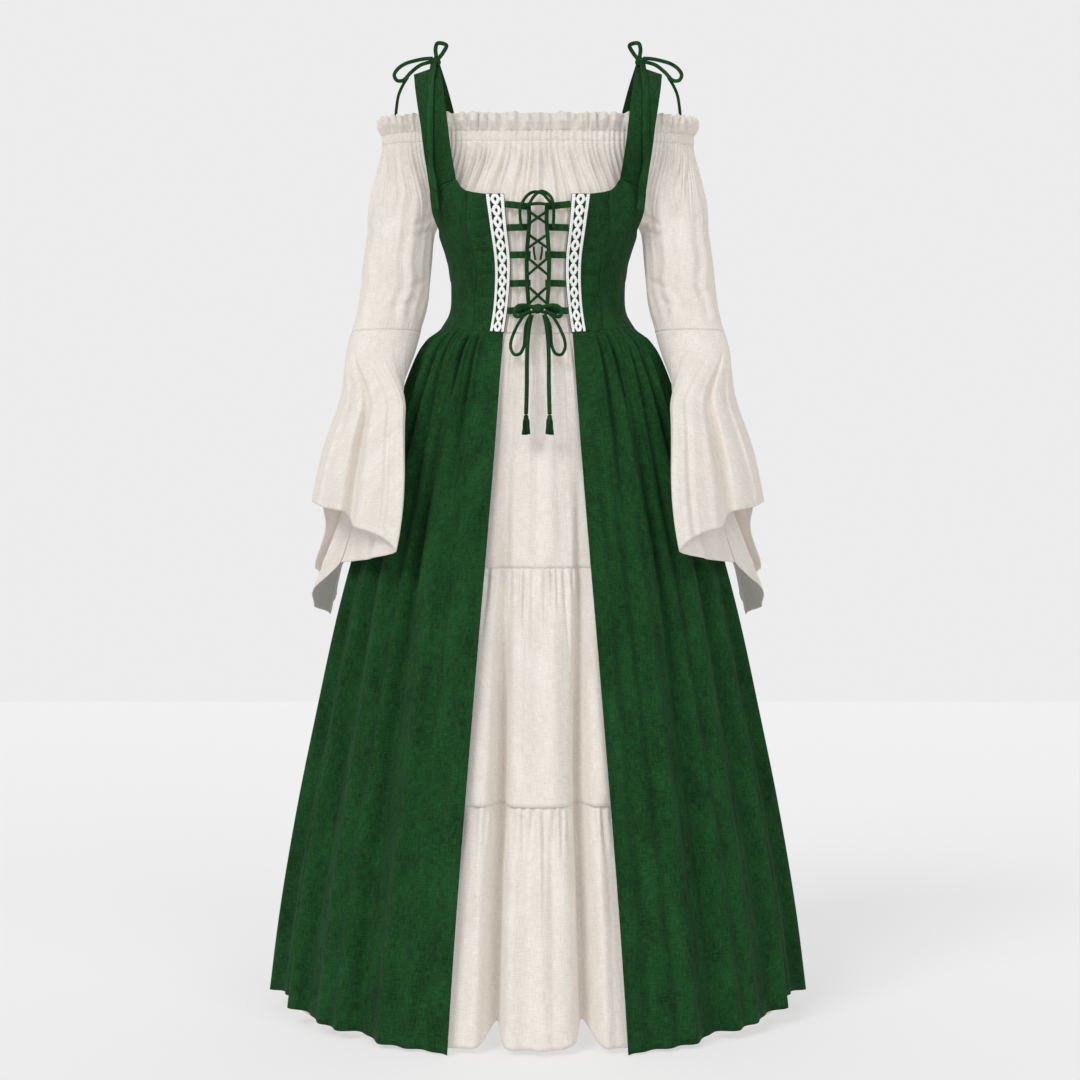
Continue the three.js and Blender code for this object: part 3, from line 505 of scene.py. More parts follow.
class Nodes:
    """A short way to write a material's nodes."""

    def __init__(self, name):
        self.material = bpy.data.materials.new(name)
        self.material.use_nodes = True
        self.tree = self.material.node_tree
        self.shader = self.tree.nodes["Principled BSDF"]

    def add(self, kind, inputs=(), **settings):
        node = self.tree.nodes.new(kind)
        for name, value in settings.items():
            setattr(node, name, value)
        for name, value in dict(inputs).items():
            self.put(node.inputs[name], value)
        return node

    def put(self, socket, value):
        if isinstance(value, bpy.types.NodeSocket):
            self.tree.links.new(value, socket)
        else:
            socket.default_value = value

    def maths(self, operation, *values):
        node = self.add("ShaderNodeMath", operation=operation)
        for socket, value in zip(node.inputs, values):
            self.put(socket, value)
        return node.outputs[0]

    def noise(self, place, scale, stretch=(1, 1, 1), detail=2.0):
        spread = self.add("ShaderNodeVectorMath", operation="MULTIPLY")
        self.put(spread.inputs[0], place)
        self.put(spread.inputs[1], stretch)
        inputs = {"Vector": spread.outputs[0], "Scale": scale, "Detail": detail, "Roughness": 0.6}
        return self.add("ShaderNodeTexNoise", inputs).outputs["Fac"]


def linear(colour):
    """A colour from 0 to 255 as the picture shows it, as light."""
    share = np.array(colour) / 255
    light = np.where(share <= 0.04045, share / 12.92, ((share + 0.055) / 1.055) ** 2.4)
    return (*light, 1)


def fabric(name, dark, light, slub, weave_mm, sheen, roughness, crinkled, painted_glow):
    """Woven cloth: threads both ways, thicker threads here and there, soft patches, and a
    row of stitches along hems. The cloth can also glow evenly in its light colour: painted light that
    brightens its shaded folds."""
    n = Nodes(name)
    place = n.add("ShaderNodeAttribute", attribute_name="cloth").outputs["Vector"]
    apart = n.add("ShaderNodeSeparateXYZ", {"Vector": place})
    along, down, edge = apart.outputs
    flat = n.add("ShaderNodeCombineXYZ", {"X": along, "Y": down}).outputs[0]
    weft = n.noise(flat, 1.0, (70, 900, 1))
    warp = n.noise(flat, 1.0, (900, 70, 1))
    patches = n.noise(flat, 30.0, (1, 0.4, 1), 3.0)
    crinkle = n.noise(flat, 1.0, (190, 16, 1), 3.0)
    threads = n.maths("ADD", n.maths("MULTIPLY", weft, 0.5), n.maths("MULTIPLY", warp, 0.5))
    woven = n.maths("MULTIPLY", threads, slub)
    mixed = n.maths("ADD", woven, n.maths("MULTIPLY", patches, 1 - slub))
    tone = n.add("ShaderNodeMapRange", {"Value": mixed, "From Min": 0.39, "From Max": 0.61})
    colour = n.add("ShaderNodeMix", data_type="RGBA")
    n.put(colour.inputs["Factor"], tone.outputs[0])
    n.put(colour.inputs[6], linear(dark))
    n.put(colour.inputs[7], linear(light))
    n.put(n.shader.inputs["Base Color"], colour.outputs[2])
    rough = n.add("ShaderNodeMapRange", {
        "Value": mixed, "From Min": 0.3, "From Max": 0.7,
        "To Min": roughness, "To Max": roughness - 0.1,
    })
    n.put(n.shader.inputs["Roughness"], rough.outputs[0])
    n.put(n.shader.inputs["Sheen Weight"], sheen)
    n.put(n.shader.inputs["Sheen Roughness"], 0.4)
    n.put(n.shader.inputs["Specular IOR Level"], 0.2)
    # Painted light: the cloth glows evenly in its light colour, at the strength of the last argument
    n.put(n.shader.inputs["Emission Color"], linear(light))
    n.put(n.shader.inputs["Emission Strength"], painted_glow)
    rate = 2 * np.pi / (weave_mm * MM)
    over = n.maths("SINE", n.maths("MULTIPLY", along, rate))
    under = n.maths("SINE", n.maths("MULTIPLY", down, rate))
    weave = n.maths("MULTIPLY", over, under)
    near_stitch = n.maths("ABSOLUTE", n.maths("SUBTRACT", edge, 12 * MM))
    groove = n.maths("LESS_THAN", near_stitch, 0.7 * MM)
    height = n.maths("ADD", n.maths("MULTIPLY", weave, 0.12), n.maths("MULTIPLY", threads, 1.4))
    height = n.maths("SUBTRACT", height, n.maths("MULTIPLY", groove, 1.2))
    height = n.maths("ADD", height, n.maths("MULTIPLY", crinkle, crinkled))
    bump = n.add("ShaderNodeBump", {"Strength": 0.55, "Distance": 0.45 * MM, "Height": height})
    n.put(n.shader.inputs["Normal"], bump.outputs[0])
    return n.material


def plain_material(name, shade, glow):
    """A plain pale surface that shows as the photo's background."""
    n = Nodes(name)
    n.put(n.shader.inputs["Base Color"], (shade, shade, shade, 1))
    n.put(n.shader.inputs["Roughness"], 1.0)
    n.put(n.shader.inputs["Specular IOR Level"], 0.0)
    n.put(n.shader.inputs["Emission Color"], (1, 1, 1, 1))
    n.put(n.shader.inputs["Emission Strength"], glow)
    return n.material


make_camera()
make_light()
make_studio()

GREEN = fabric("green_linen", (4, 35, 9), (28, 80, 38), 0.75, 0.8, 0.02, 0.95, 2.0, 0)
CORD = fabric("green_cord", (6, 42, 12), (28, 80, 38), 0.7, 0.7, 0.02, 0.92, 0.8, 0)
# The cream cotton glows at 0.2 of its light colour: painted light that lifts its shaded parts
CREAM = fabric("cream_cotton", (195, 187, 178), (219, 213, 206), 0.75, 0.7, 0.05, 0.9, 3.2, 0.2)
LACE = fabric("white_lace", (238, 238, 235), (250, 250, 249), 0.5, 0.9, 0.05, 0.8, 0.4, 0)
LOOKS = {"green_cloth": GREEN, "green_cord": CORD, "linen": CREAM, "lace": LACE}


# Meshes

def mesh_piece(name, points, faces, slot, place=None):
    """A shown piece that stands for the solid of the same name."""
    mesh = bpy.data.meshes.new(name)
    mesh.from_pydata((points * MM).tolist(), [], faces)
    mesh.polygons.foreach_set("use_smooth", np.ones(len(mesh.polygons), bool))
    mesh.materials.append(LOOKS[slot])
    cloth = mesh.attributes.new("cloth", "FLOAT_VECTOR", "POINT")
    where = points if place is None else place
    cloth.data.foreach_set("vector", (where * MM).ravel())
    piece = bpy.data.objects.new("cloth_" + name, mesh)
    bpy.context.scene.collection.objects.link(piece)
    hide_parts(name)
    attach(piece, "root")
    return piece


def grid_faces(rows, columns, ring):
    spans = columns if ring else columns - 1
    i, j = np.meshgrid(np.arange(rows - 1), np.arange(spans), indexing="ij")
    k = (j + 1) % columns
    corners = [i * columns + j, (i + 1) * columns + j, (i + 1) * columns + k, i * columns + k]
    return np.stack(corners, -1).reshape(-1, 4)


def distances(points, axis):
    """How far each point lies along its row or its column."""
    steps = np.linalg.norm(np.diff(points, axis=axis), axis=2)
    start = np.zeros_like(np.take(steps, [0], axis))
    return np.concatenate([start, np.cumsum(steps, axis)], axis)


def sheet_piece(name, points, slot, thick, ring=False, hems=""):
    """A sheet of cloth through a grid of points, its rows going down."""
    rows, columns = points.shape[:2]
    along = distances(points, 1)
    down = distances(points, 0)
    edges = [np.full((rows, columns), 1000.0)]
    if "low" in hems:
        edges.append(down[-1:] - down)
    if "top" in hems:
        edges.append(down)
    if "start" in hems:
        edges.append(along)
    if "end" in hems:
        edges.append(along[:, -1:] - along)
    edge = np.minimum.reduce(edges)
    along = along - along[:, columns // 2][:, None]
    place = stack(along, down, edge).reshape(-1, 3)
    faces = grid_faces(rows, columns, ring).tolist()
    piece = mesh_piece(name, points.reshape(-1, 3), faces, slot, place)
    wall = piece.modifiers.new("wall", "SOLIDIFY")
    wall.thickness = thick * MM
    wall.offset = -1
    return piece


def flipped(points):
    """The same grid on the other side of the gown."""
    return (points * (-1, 1, 1))[:, ::-1]


def pair(name, points, slot, thick, hems=""):
    other = hems.replace("start", "END").replace("end", "start").replace("END", "end")
    sheet_piece(name + "_right", points, slot, thick, hems=hems)
    sheet_piece(name + "_left", flipped(points), slot, thick, hems=other)


# Chemise

def ring_z(angle):
    along = np.cos(np.radians(angle))
    return FRILL_SIDE_Z - along**2 * np.where(along > 0, FRILL_FRONT_DIP, FRILL_BACK_DIP)


def neck_gather(angle):
    """The fine gathers of the neck, from the frill through the band to the cloth below."""
    return gathers(np.abs((angle + 180) % 360 - 180) / 180, 84, 11)


def neck_frill():
    up = 1 - grid(18, 2)[0]
    turn = np.arange(1080)[None, :] / 1080
    angle = turn * 360
    half = np.abs((angle + 180) % 360 - 180) / 180
    out = np.interp(up, [0, 0.12, 0.5, 1], [-0.9, 0.6, 3.8, 4.4])
    swing = np.interp(up, [0, 0.12, 0.5, 1], [0, 2.2, 5.6, 5.6])
    ruffle = gathers(half + 0.01 * up * waves(half, 30, 4), FRILL_WAVES * 0.9, 3)
    fine = neck_gather(angle) * np.interp(up, [0, 0.3, 1], [1.3, 1.3, 0.6])
    lift = out + swing * ruffle + fine
    z = ring_z(angle) + mix(-0.1, FRILL_HEIGHT, up) + 2.2 * up * waves(half, 34, 7)
    sheet_piece("neck_frill", on_oval(RING, angle, z, lift), "linen", LINEN, ring=True)


def neck_band():
    down = grid(17, 2)[0]
    turn = np.arange(1080)[None, :] / 1080
    angle = turn * 360
    casing = np.sin(down * np.pi) ** 0.6
    lift = neck_gather(angle) * mix(1.3, 1.5, casing) + 0.7 * casing - 0.9
    z = ring_z(angle) - down * BAND_HEIGHT
    sheet_piece("neck_band", on_oval(RING, angle, z, lift), "linen", 1.8, ring=True)


def chemise_body(name, side, rows, columns):
    level, place = grid(rows, columns)
    edge = 1 - 0.2 * SEAM / RAGLAN_X
    share = mix(-edge, edge, place)
    low_angle = share * 90 if side > 0 else 180 - share * 90
    top_angle = share * 40 if side > 0 else 180 - share * 40
    z = mix(ring_z(top_angle) - BAND_HEIGHT + 0.1, waist_z(low_angle) + SEAM, level)
    around = np.degrees(np.arcsin(share * RAGLAN_X / RING[0]))
    around = around if side > 0 else 180 - around
    half = np.abs(share)
    runs = 3.2 + 2.0 * waves(half, 16, 21)
    fine = neck_gather(around) * (1 - 0.8 * ease(level * runs * 0.7))
    soft = gathers(half, 11, 24) * ease(level * 6) * (1 - 0.3 * ease(level * 1.5))
    close = gathers(half, 26, 26) * ease((level - 0.7) * 4)
    lift = -0.9 - 0.7 * ease(level * 12) + 1.4 * fine * (1 + 1.6 * ease(level * 10))
    lift = lift + 4.6 * soft + 2.2 * close
    drop = ease((z + 125) / (UNDERARM_Z + 125))[..., None]
    half, front, back = body_oval(z, CHEMISE_EASE)
    inner = (np.minimum(half, RAGLAN_X - 2), front, back)
    top = on_oval(RING, around, z, lift)
    points = mix(top, on_oval(inner, low_angle, z, lift), drop)
    if side < 0:
        points = points[:, ::-1]
    sheet_piece(name, points, "linen", LINEN)


def crease(along, down, start, end, width, depth):
    """A short sharp fold in the cloth, from start to end."""
    run = np.array(end, float) - np.array(start, float)
    length = np.linalg.norm(run)
    share = ((along - start[0]) * run[0] + (down - start[1]) * run[1]) / length**2
    apart = ((along - start[0]) * run[1] - (down - start[1]) * run[0]) / length
    fade = ease(share * 3) * ease((1 - share) * 2.2)
    return -depth * np.exp(-((apart / width) ** 2)) * fade


def sleeve_tube(turn, z):
    phi = np.radians(turn * 360 - 90)
    x = curve(SLEEVE, "z", z, "x") + curve(SLEEVE, "z", z, "half") * np.sin(phi)
    y = curve(SLEEVE, "z", z, "y") - curve(SLEEVE, "z", z, "deep") * np.cos(phi)
    return stack(x, y, z)


def sleeve_place(turn, z):
    start = np.degrees(np.arcsin(RAGLAN_X / RING[0]))
    top = on_oval(RING, mix(start, 180 - start, turn), z, 0)
    return mix(top, sleeve_tube(turn, z), ease((z + 112) / (UNDERARM_Z + 112))[..., None])


def bell_place(turn, z):
    phi = np.radians(turn * 360 - 90)
    angle = curve(BELL, "z", z, "angle") - curve(BELL, "z", z, "reach") * np.cos(phi)
    lift = curve(BELL, "z", z, "away") + curve(BELL, "z", z, "swell") * np.sin(phi)
    wrapped = on_oval(body_oval(z, 0), angle, z, lift)
    return mix(sleeve_tube(turn, z), wrapped, ease((SLEEVE_SEAM_Z - z) / 125)[..., None])


def moved(place, turn, z, lift):
    """The surface moved out by lift, level with the ground."""
    step = 0.004
    before = place(np.clip(turn - step, 0, 1), z)
    after = place(np.clip(turn + step, 0, 1), z)
    across = after - before
    outward = unit(stack(across[..., 1], -across[..., 0], 0))
    return place(turn, z) + outward * lift[..., None]


# Creases of the sleeve: start and end as turn and height, width and depth
SLEEVE_CREASES = [
    ((0.03, -214), (0.21, -246), 5.0, 5.0),
    ((0.02, -236), (0.17, -258), 3.5, 3.0),
    ((0.05, -262), (0.24, -250), 4.5, 3.0),
    ((0.30, -196), (0.22, -252), 5.0, 2.6),
    ((0.04, -318), (0.22, -342), 5.0, 3.0),
    ((0.42, -330), (0.28, -352), 5.5, 2.6),
    ((0.10, -352), (0.30, -372), 4.5, 2.4),
    ((0.90, -232), (0.72, -262), 5.0, 3.6),
    ((0.55, -300), (0.68, -330), 5.5, 2.4),
]
SLEEVE_ROUND = 320


def sleeves():
    level, place = grid(110, 260)
    turn = mix(0.0005, 0.9995, place)
    angle = mix(39.4, 140.6, turn)
    z = mix(ring_z(angle) - BAND_HEIGHT + 0.1, SLEEVE_SEAM_Z, level)
    runs = 3.6 + 2.2 * waves(place, 17, 31)
    fine = neck_gather(angle) * (1 - ease(level * runs * 0.8))
    drift = turn + 0.02 * waves(level, 2.5, 34) + 0.03 * level
    long = gathers(drift, 13, 33) * (1 - ease(level * (1.5 + 0.7 * waves(place, 9, 35)))) * ease(level * 7)
    broad = waves(drift, 9, 32) * ease(level * 1.6)
    close = gathers(place, 34, 36) * ease((level - 0.93) * 14) * (1 - ease((level - 0.985) * 60))
    lift = -0.9 * (1 - ease(level * 8)) + 1.3 * fine * (1 + ease(level * 10)) + 2.6 * long
    flush = 1 - ease((level - 0.88) * 9)
    lift = lift + 2.6 * broad * flush + 0.35 * close
    for start, end, width, depth in SLEEVE_CREASES:
        first = (start[0] * SLEEVE_ROUND, start[1])
        last = (end[0] * SLEEVE_ROUND, end[1])
        lift = lift + 0.7 * flush * crease(turn * SLEEVE_ROUND, z, first, last, width, depth)
    pair("sleeve", moved(sleeve_place, turn, z, lift), "linen", LINEN)


# Narrow folds in the bell's front, pressed back: turn, width, depth
BELL_LAPS = [
    (0.40, 0.011, 26),
    (0.455, 0.009, 9),
    (0.325, 0.010, 7),
]
# Long folds of the bell: turn at the seam and at the hem, width and depth
BELL_FOLDS = [
    (0.16, 0.13, 0.022, 5),
    (0.93, 0.95, 0.022, 6),
    (0.80, 0.78, 0.025, 6),
]


def bells():
    level, place = grid(90, 340)
    turn = mix(0.0005, 0.9995, place)
    hem = np.interp(turn, BELL_HEM["turn"], BELL_HEM["z"])
    z = mix(SLEEVE_SEAM_Z - 0.3, hem, level)
    off = (turn - BELL_FOLD_TURN) / BELL_FOLD_WIDTH
    opens = ease((BELL_FOLD_START - z) / BELL_FOLD_RUN)
    closes = 1 - ease((BELL_FOLD_END - z) / BELL_FOLD_RUN)
    tip = BELL_FOLD_DEPTH * np.exp(-off * off) * opens * closes
    flute = 4 * np.sin(turn * 10 * np.pi) * ease(level) * np.where(z < -740, 0.5, 1)
    soft = 2.6 * waves(turn + 0.03 * level, 9, 43) * ease(level * 1.6)
    soft = soft + 0.7 * waves(place, 24, 44) * ease(level * 3)
    fold = 0
    for start, end, width, deep in BELL_FOLDS:
        off = (turn - mix(start, end, level)) / width
        fold = fold + deep * np.exp(-off * off) * ease((level - 0.08) * 2)
    inner = 14 * np.exp(-(((turn - 0.91) / 0.06) ** 2)) * ease((-z - 640) / 120)
    lift = flute - tip - fold + soft - inner - 2 * ease(level * 4)
    points = moved(bell_place, turn, z, lift)
    swing = BELL_SWING * np.sin(np.pi * np.clip((SLEEVE_SEAM_Z - z) / 330, 0, 1))
    lap = 0
    for middle, width, deep in BELL_LAPS:
        off = (turn - middle) / width
        lap = lap + deep * np.exp(-off * off) * ease((level - 0.06) * 1.6)
    points = points + stack(swing, lap, 0)
    pair("bell", points, "linen", LINEN, hems="low")


# Underskirt

# The two deep folds beside the middle of the front: place at the waist and the hem, width,
# depth and where each one starts
DEEP_FOLDS = [
    (-12.1, -9.6, 1.7, 44, -540),
    (17, 10.6, 1.7, 48, -540),
]


def underskirt():
    window = np.linspace(-28, 28, 230)
    hidden = np.linspace(28, 332, 100)[1:-1]
    angle = np.concatenate([window, hidden])[None, :]
    near = np.where(np.abs(angle) < 29, 1.0, 0.0)
    for k, (name, (top, low, size, grow)) in enumerate(TIERS.items()):
        level = grid(66, 2)[0] ** 1.25
        high = waist_z(angle) if top is None else top
        z = mix(high - 0.2, low, level)
        close = ease((-z - 400) / 200)
        inset = mix(CHEMISE_EASE + 1, UNDERSKIRT_EASE, close) - grow * ease(level * 3)
        turn = angle / 360
        runs = 3.6 + 2.4 * waves(turn, 60, 50 + k)
        start = mix(0.45, 1, ease(level * 20))
        fine = size * 1.25 * gathers(turn, 150, 51 + k) * (1 - ease(level * runs)) * near * start
        soft = size * 0.9 * gathers(turn, 58, 57 + k) * (1 - 0.5 * ease(level * 1.2))
        soft = soft * near * ease(level * 9)
        ripple = 4.5 * waves(turn, 34, 61 + k) * ease(level * 3) * near
        if k < 2:
            soft = soft * (1 - ease((level - 0.94) * 17))
            ripple = ripple * (1 - ease((level - 0.94) * 17))
        fold = hollow(TIER_FOLDS, angle, z, False) * 0.5 + hollow(DEEP_FOLDS, angle, z, False)
        covered = ease((np.abs((angle + 180) % 360 - 180) - 22) / 8)
        back = covered * mix(9, 14, ease((-z - 420) / 150))
        lift = np.minimum(fine + soft + ripple, 9) - fold
        z = z + fold * 0.5 * ease((level - 0.6) * 2.5) if k == 2 else z
        points = on_oval(body_oval(z, inset + back), angle, z, lift)
        sheet_piece(name, points, "linen", LINEN, ring=True, hems="low" if k == 2 else "")


# Overskirt

# How far a gather may go in or out at the waist seam, where the edges meet, and below it
WAIST_IN = -0.4
WAIST_OUT = 0.2
GATHER_REACH = 60


def skirt_edge(z):
    down = ease((-z - 400) / 980)
    half = body_oval(z, 0)[0]
    return np.degrees(np.arcsin(mix(50, 122, mix((-z - 400) / 980, down, 0.2)) / half))


def skirt_points(start, end, rows, columns, is_open, seed, count):
    level, place = grid(rows, columns)
    level = level**1.35
    nominal = mix(start, end, place)
    hem = np.interp(np.where(nominal > 180, 360 - nominal, nominal), SKIRT_HEM["angle"], SKIRT_HEM["z"])
    z = mix(waist_z(nominal) - 0.2, hem, level)
    gap = np.degrees(SEAM / 2 / body_oval(z, 0)[0])
    first = skirt_edge(z) if is_open else start + gap
    angle = mix(first, end - gap, place)
    plain = ease((place - 0.1) * 12) if is_open else 1
    runs = 5 + 2.5 * waves(place, count / 2, seed)
    broad = 6.6 * gathers(place, count * 1.15, seed + 1) * (1 - ease(level * runs * 0.6))
    fine = 3.4 * gathers(place, count * 2.3, seed + 2) * (1 - ease(level * runs * 1.5))
    long = 6.5 * gathers(place, count * 0.8, seed + 3) * ease(level * 8) * (1 - 0.75 * ease(level * 1.3))
    soft = 9 * waves(place, count * 0.75, seed + 4) * ease(level * 2.5)
    ridge = 6 * ease((-z - 400) / 500) + 3.5 * plain * ease(level * 30) * (1 - ease(level * 4))
    lift = plain * (broad + fine + long) + soft + ridge - 1.6 * hollow(SKIRT_FOLDS, angle, z, True)
    free = ease(level * 14)
    lift = np.clip(lift, mix(WAIST_IN, -GATHER_REACH, free), mix(WAIST_OUT, GATHER_REACH, free))
    return on_oval(body_oval(z, 0), angle, z, lift)


def overskirt():
    front = skirt_points(18, 92, 105, 210, True, 70, 11)
    pair("overskirt_front", front, "green_cloth", CLOTH, hems="low start")
    back = skirt_points(92, 268, 84, 270, False, 80, 24)
    sheet_piece("overskirt_back", back, "green_cloth", CLOTH, hems="low")


# Bodice

def bodice_top(angle):
    return np.interp(np.where(angle > 180, 360 - angle, angle), BODICE_TOP["angle"], BODICE_TOP["z"])


def panel_angle(column, z):
    return np.degrees(np.arcsin(curve(PANELS, "z", z, column) / body_oval(z, 0)[0]))


def seam_roll(distance):
    """The cloth rolls in along a sewn seam."""
    return -0.9 * np.exp(-((distance / 1.6) ** 2))


FRONT_SHARES = (0, 1 / 3, 2 / 3, 1)
FRONT_NOMINAL = (16.5, 25.8, 31, 36.3)


def front_place(share, level, lift):
    """A place on the front panel, from the opening's edge to the princess seam."""
    nominal = np.interp(share, FRONT_SHARES, FRONT_NOMINAL)
    z = mix(bodice_top(nominal), waist_z(nominal), level)
    gap = np.degrees(0.02 / body_oval(z, 0)[0])
    edge = panel_angle("edge", z)
    lace = panel_angle("lace", z)
    princess = panel_angle("princess", z) - gap
    near = mix(edge, lace, np.clip(share * 3, 0, 1))
    far = mix(lace, princess, np.clip(share * 1.5 - 0.5, 0, 1))
    angle = np.where(share < 1 / 3, near, far)
    return on_oval(body_oval(z, 0), angle, z, lift)


# Level creases that run out from the lace: start and end as x and z, width and depth
BODICE_CREASES = [
    ((60, -262), (104, -270), 3.2, 1.4),
    ((64, -288), (112, -283), 3.4, 1.8),
    ((58, -316), (100, -322), 3.2, 1.7),
    ((62, -352), (98, -349), 3.0, 1.2),
    ((64, -236), (92, -243), 3.0, 0.9),
]


def bodice_front():
    level, share = grid(120, 70)
    flat = front_place(share, level, 0)
    along = distances(flat, 1)
    lift = seam_roll(along[:, -1:] - along) + 0.7 * waves(share * 0.6 + level * 0.7, 3, 90)
    for start, end, width, depth in BODICE_CREASES:
        fade = ease((along[:, -1:] - along) / 14)
        lift = lift + 1.6 * fade * crease(flat[..., 0], flat[..., 2], start, end, width, depth)
    pair("bodice_front", front_place(share, level, lift), "green_cloth", CLOTH, hems="top start")


def bodice_side():
    corners = np.concatenate([np.linspace(36.3, 90, 64), [42.5, 64.6]])
    nominal = np.unique(corners)[None, :]
    level = grid(90, 2)[0]
    z = mix(bodice_top(nominal), waist_z(nominal), level)
    gap = np.degrees(0.02 / body_oval(z, 0)[0])
    angle = mix(panel_angle("princess", z) + gap, 90 - gap, (nominal - 36.3) / (90 - 36.3))
    along = distances(on_oval(body_oval(z, 0), angle, z, 0 * z), 1)
    lift = seam_roll(along) + seam_roll(along[:, -1:] - along)
    share = (nominal - 36.3) / 53.7
    lift = lift + 0.7 * waves(share * 0.6 + level * 0.5, 4, 91) * ease(level * 4)
    lift = lift - 1.2 * np.exp(-(((level - 0.62 + 0.1 * share) / 0.03) ** 2)) * ease(share * 2)
    pair("bodice_side", on_oval(body_oval(z, 0), angle, z, lift), "green_cloth", CLOTH, hems="top")


def bodice_back():
    corners = np.concatenate([np.linspace(90, 270, 150), [116, 124, 144, 151, 209, 216, 236, 244]])
    nominal = np.unique(corners)[None, :]
    level = grid(80, 2)[0]
    z = mix(bodice_top(nominal), waist_z(nominal), level)
    gap = np.degrees(0.02 / body_oval(z, 0)[0])
    angle = np.clip(nominal, 90 + gap, 270 - gap)
    along = distances(on_oval(body_oval(z, 0), angle, z, 0 * z), 1)
    lift = seam_roll(along) + seam_roll(along[:, -1:] - along)
    for seam in (145, 215):
        lift = lift + seam_roll(np.abs(nominal - seam) * 1.9)
    lift = lift + 0.6 * waves(nominal / 180 + level * 0.6, 5, 92)
    sheet_piece("bodice_back", on_oval(body_oval(z, 0), angle, z, lift), "green_cloth", CLOTH, hems="top")


# Straps

def strap_rows(rows, base_in, base_out):
    """The strap's inner, middle and outer points, from the bodice up."""
    base = []
    for angle in (base_in, mix(base_in, base_out, 0.5), base_out):
        z = np.array(bodice_top(angle), float)
        base.append(on_oval(body_oval(z, 0), angle, z, 0))
    lines = [np.array(base)]
    for inner, outer in rows:
        inner, outer = np.array(inner, float), np.array(outer, float)
        lines.append(np.array([inner, (inner + outer) / 2, outer]))
    return np.array(lines)


def strap_grid(lines, rows, columns, outward):
    """A dense grid on the strap, its rows going up, its outer face turned outward."""
    index = np.arange(len(lines), dtype=float)
    at = np.linspace(0, len(lines) - 1, rows)
    edges = []
    for k in range(3):
        along = {"i": index, "x": lines[:, k, 0], "y": lines[:, k, 1], "z": lines[:, k, 2]}
        edges.append(stack(*[curve(along, "i", at, c) for c in "xyz"]))
    share = np.linspace(0, 1, columns)
    left = mix(edges[0][:, None], edges[1][:, None], np.clip(share * 2, 0, 1)[None, :, None])
    right = mix(edges[1][:, None], edges[2][:, None], np.clip(share * 2 - 1, 0, 1)[None, :, None])
    points = np.where(share[None, :, None] < 0.5, left, right)
    return facing(points, outward)


def facing(points, outward):
    """The grid with its columns turned round where its face looks the wrong way."""
    across = points[:-1, 1:] - points[:-1, :-1]
    along = points[1:, :-1] - points[:-1, :-1]
    normal = np.cross(along, across).mean((0, 1))
    return points if normal @ np.array(outward) > 0 else points[:, ::-1]


STRAP_FRONT_LINES = strap_rows(STRAP_FRONT, 42.5, 64.6)
STRAP_BACK_LINES = strap_rows(STRAP_BACK, 144, 124)


def straps():
    for name, lines, outward in (
        ("strap_front", STRAP_FRONT_LINES, (0, -1, 0)),
        ("strap_back", STRAP_BACK_LINES, (0, 1, 0)),
    ):
        points = strap_grid(lines, 70, 22, outward)
        pair(name, points, "green_cloth", CLOTH, hems="start end")


# Cords and ribbons

def round_section(diameter, sides):
    turn = np.arange(sides) / sides * 2 * np.pi
    return np.stack([np.cos(turn), np.sin(turn)], 1) * diameter / 2


def flat_section(width, thick):
    """A ribbon's section, its corners rounded."""
    turn = np.arange(20) / 20 * 2 * np.pi
    x, y = np.cos(turn), np.sin(turn)
    wide = width / 2 * np.sign(x) * np.abs(x) ** 0.45
    return np.stack([wide, thick / 2 * np.sign(y) * np.abs(y) ** 0.6], 1)


def sweep(path, section, front=(0, -1, 0), size=None):
    """A closed tube of that section along a path, its broad face looking to the front."""
    along = unit(np.gradient(path, axis=0))
    side = unit(np.cross(along, np.array(front, float)))
    out = unit(np.cross(side, along))
    scale = np.ones(len(path)) if size is None else size
    ring = section[None, :, :] * scale[:, None, None]
    points = path[:, None, :] + side[:, None, :] * ring[..., :1] + out[:, None, :] * ring[..., 1:]
    rows, columns = points.shape[:2]
    faces = grid_faces(rows, columns, True).tolist()
    faces.append(list(range(columns)))
    faces.append([(rows - 1) * columns + k for k in range(columns)][::-1])
    return points.reshape(-1, 3), faces


def joined(parts):
    """Several closed shapes as one mesh."""
    points, faces, start = [], [], 0
    for part_points, part_faces in parts:
        points.append(part_points)
        faces += [[start + k for k in face] for face in part_faces]
        start += len(part_points)
    return np.concatenate(points), faces


def cord(points, diameter, count, seed=0, sides=14):
    """A soft cord sewn from a strip of cloth, slightly uneven."""
    path = spline(points, count)
    share = np.linspace(0, 1, count)
    size = 1 + 0.04 * waves(share, count / 8, 100 + seed)
    return sweep(path, round_section(diameter, sides), size=size)


def knot(place, size, seed):
    """A tight knot: strands wound over each other round a closed core."""
    lat, lon = np.meshgrid(np.linspace(0, np.pi, 26), np.arange(36) / 36 * 2 * np.pi, indexing="ij")
    wound = 1 + 0.09 * np.abs(np.cos(2 * lon + 1.3 * lat + seed))
    wound = wound - 0.07 * np.exp(-((lat - 1.6) / 0.25) ** 2)
    shape = stack(np.sin(lat) * np.cos(lon), np.cos(lat), np.sin(lat) * np.sin(lon)) * wound[..., None]
    points = np.array(place, float) + shape * np.array(size, float) / 2
    return points.reshape(-1, 3), grid_faces(26, 36, True).tolist()


def solid_piece(name, parts, slot):
    points, faces = joined(parts)
    return mesh_piece(name, points, faces, slot)


def mirrored_parts(parts):
    return [(points * (-1, 1, 1), [face[::-1] for face in faces]) for points, faces in parts]


def both_sides(name, parts, slot):
    right = solid_piece(name + "_right", parts, slot)
    left = solid_piece(name + "_left", mirrored_parts(parts), slot)
    return right, left


def on_front(x, z, lift):
    half, front, _ = body_oval(np.asarray(z, float), 0)
    return stack(x, -front * np.sqrt(1 - (x / half) ** 2) - lift, z)


def front_path(points, side=1):
    return [on_front(side * x, z, lift) for x, z, lift in points]


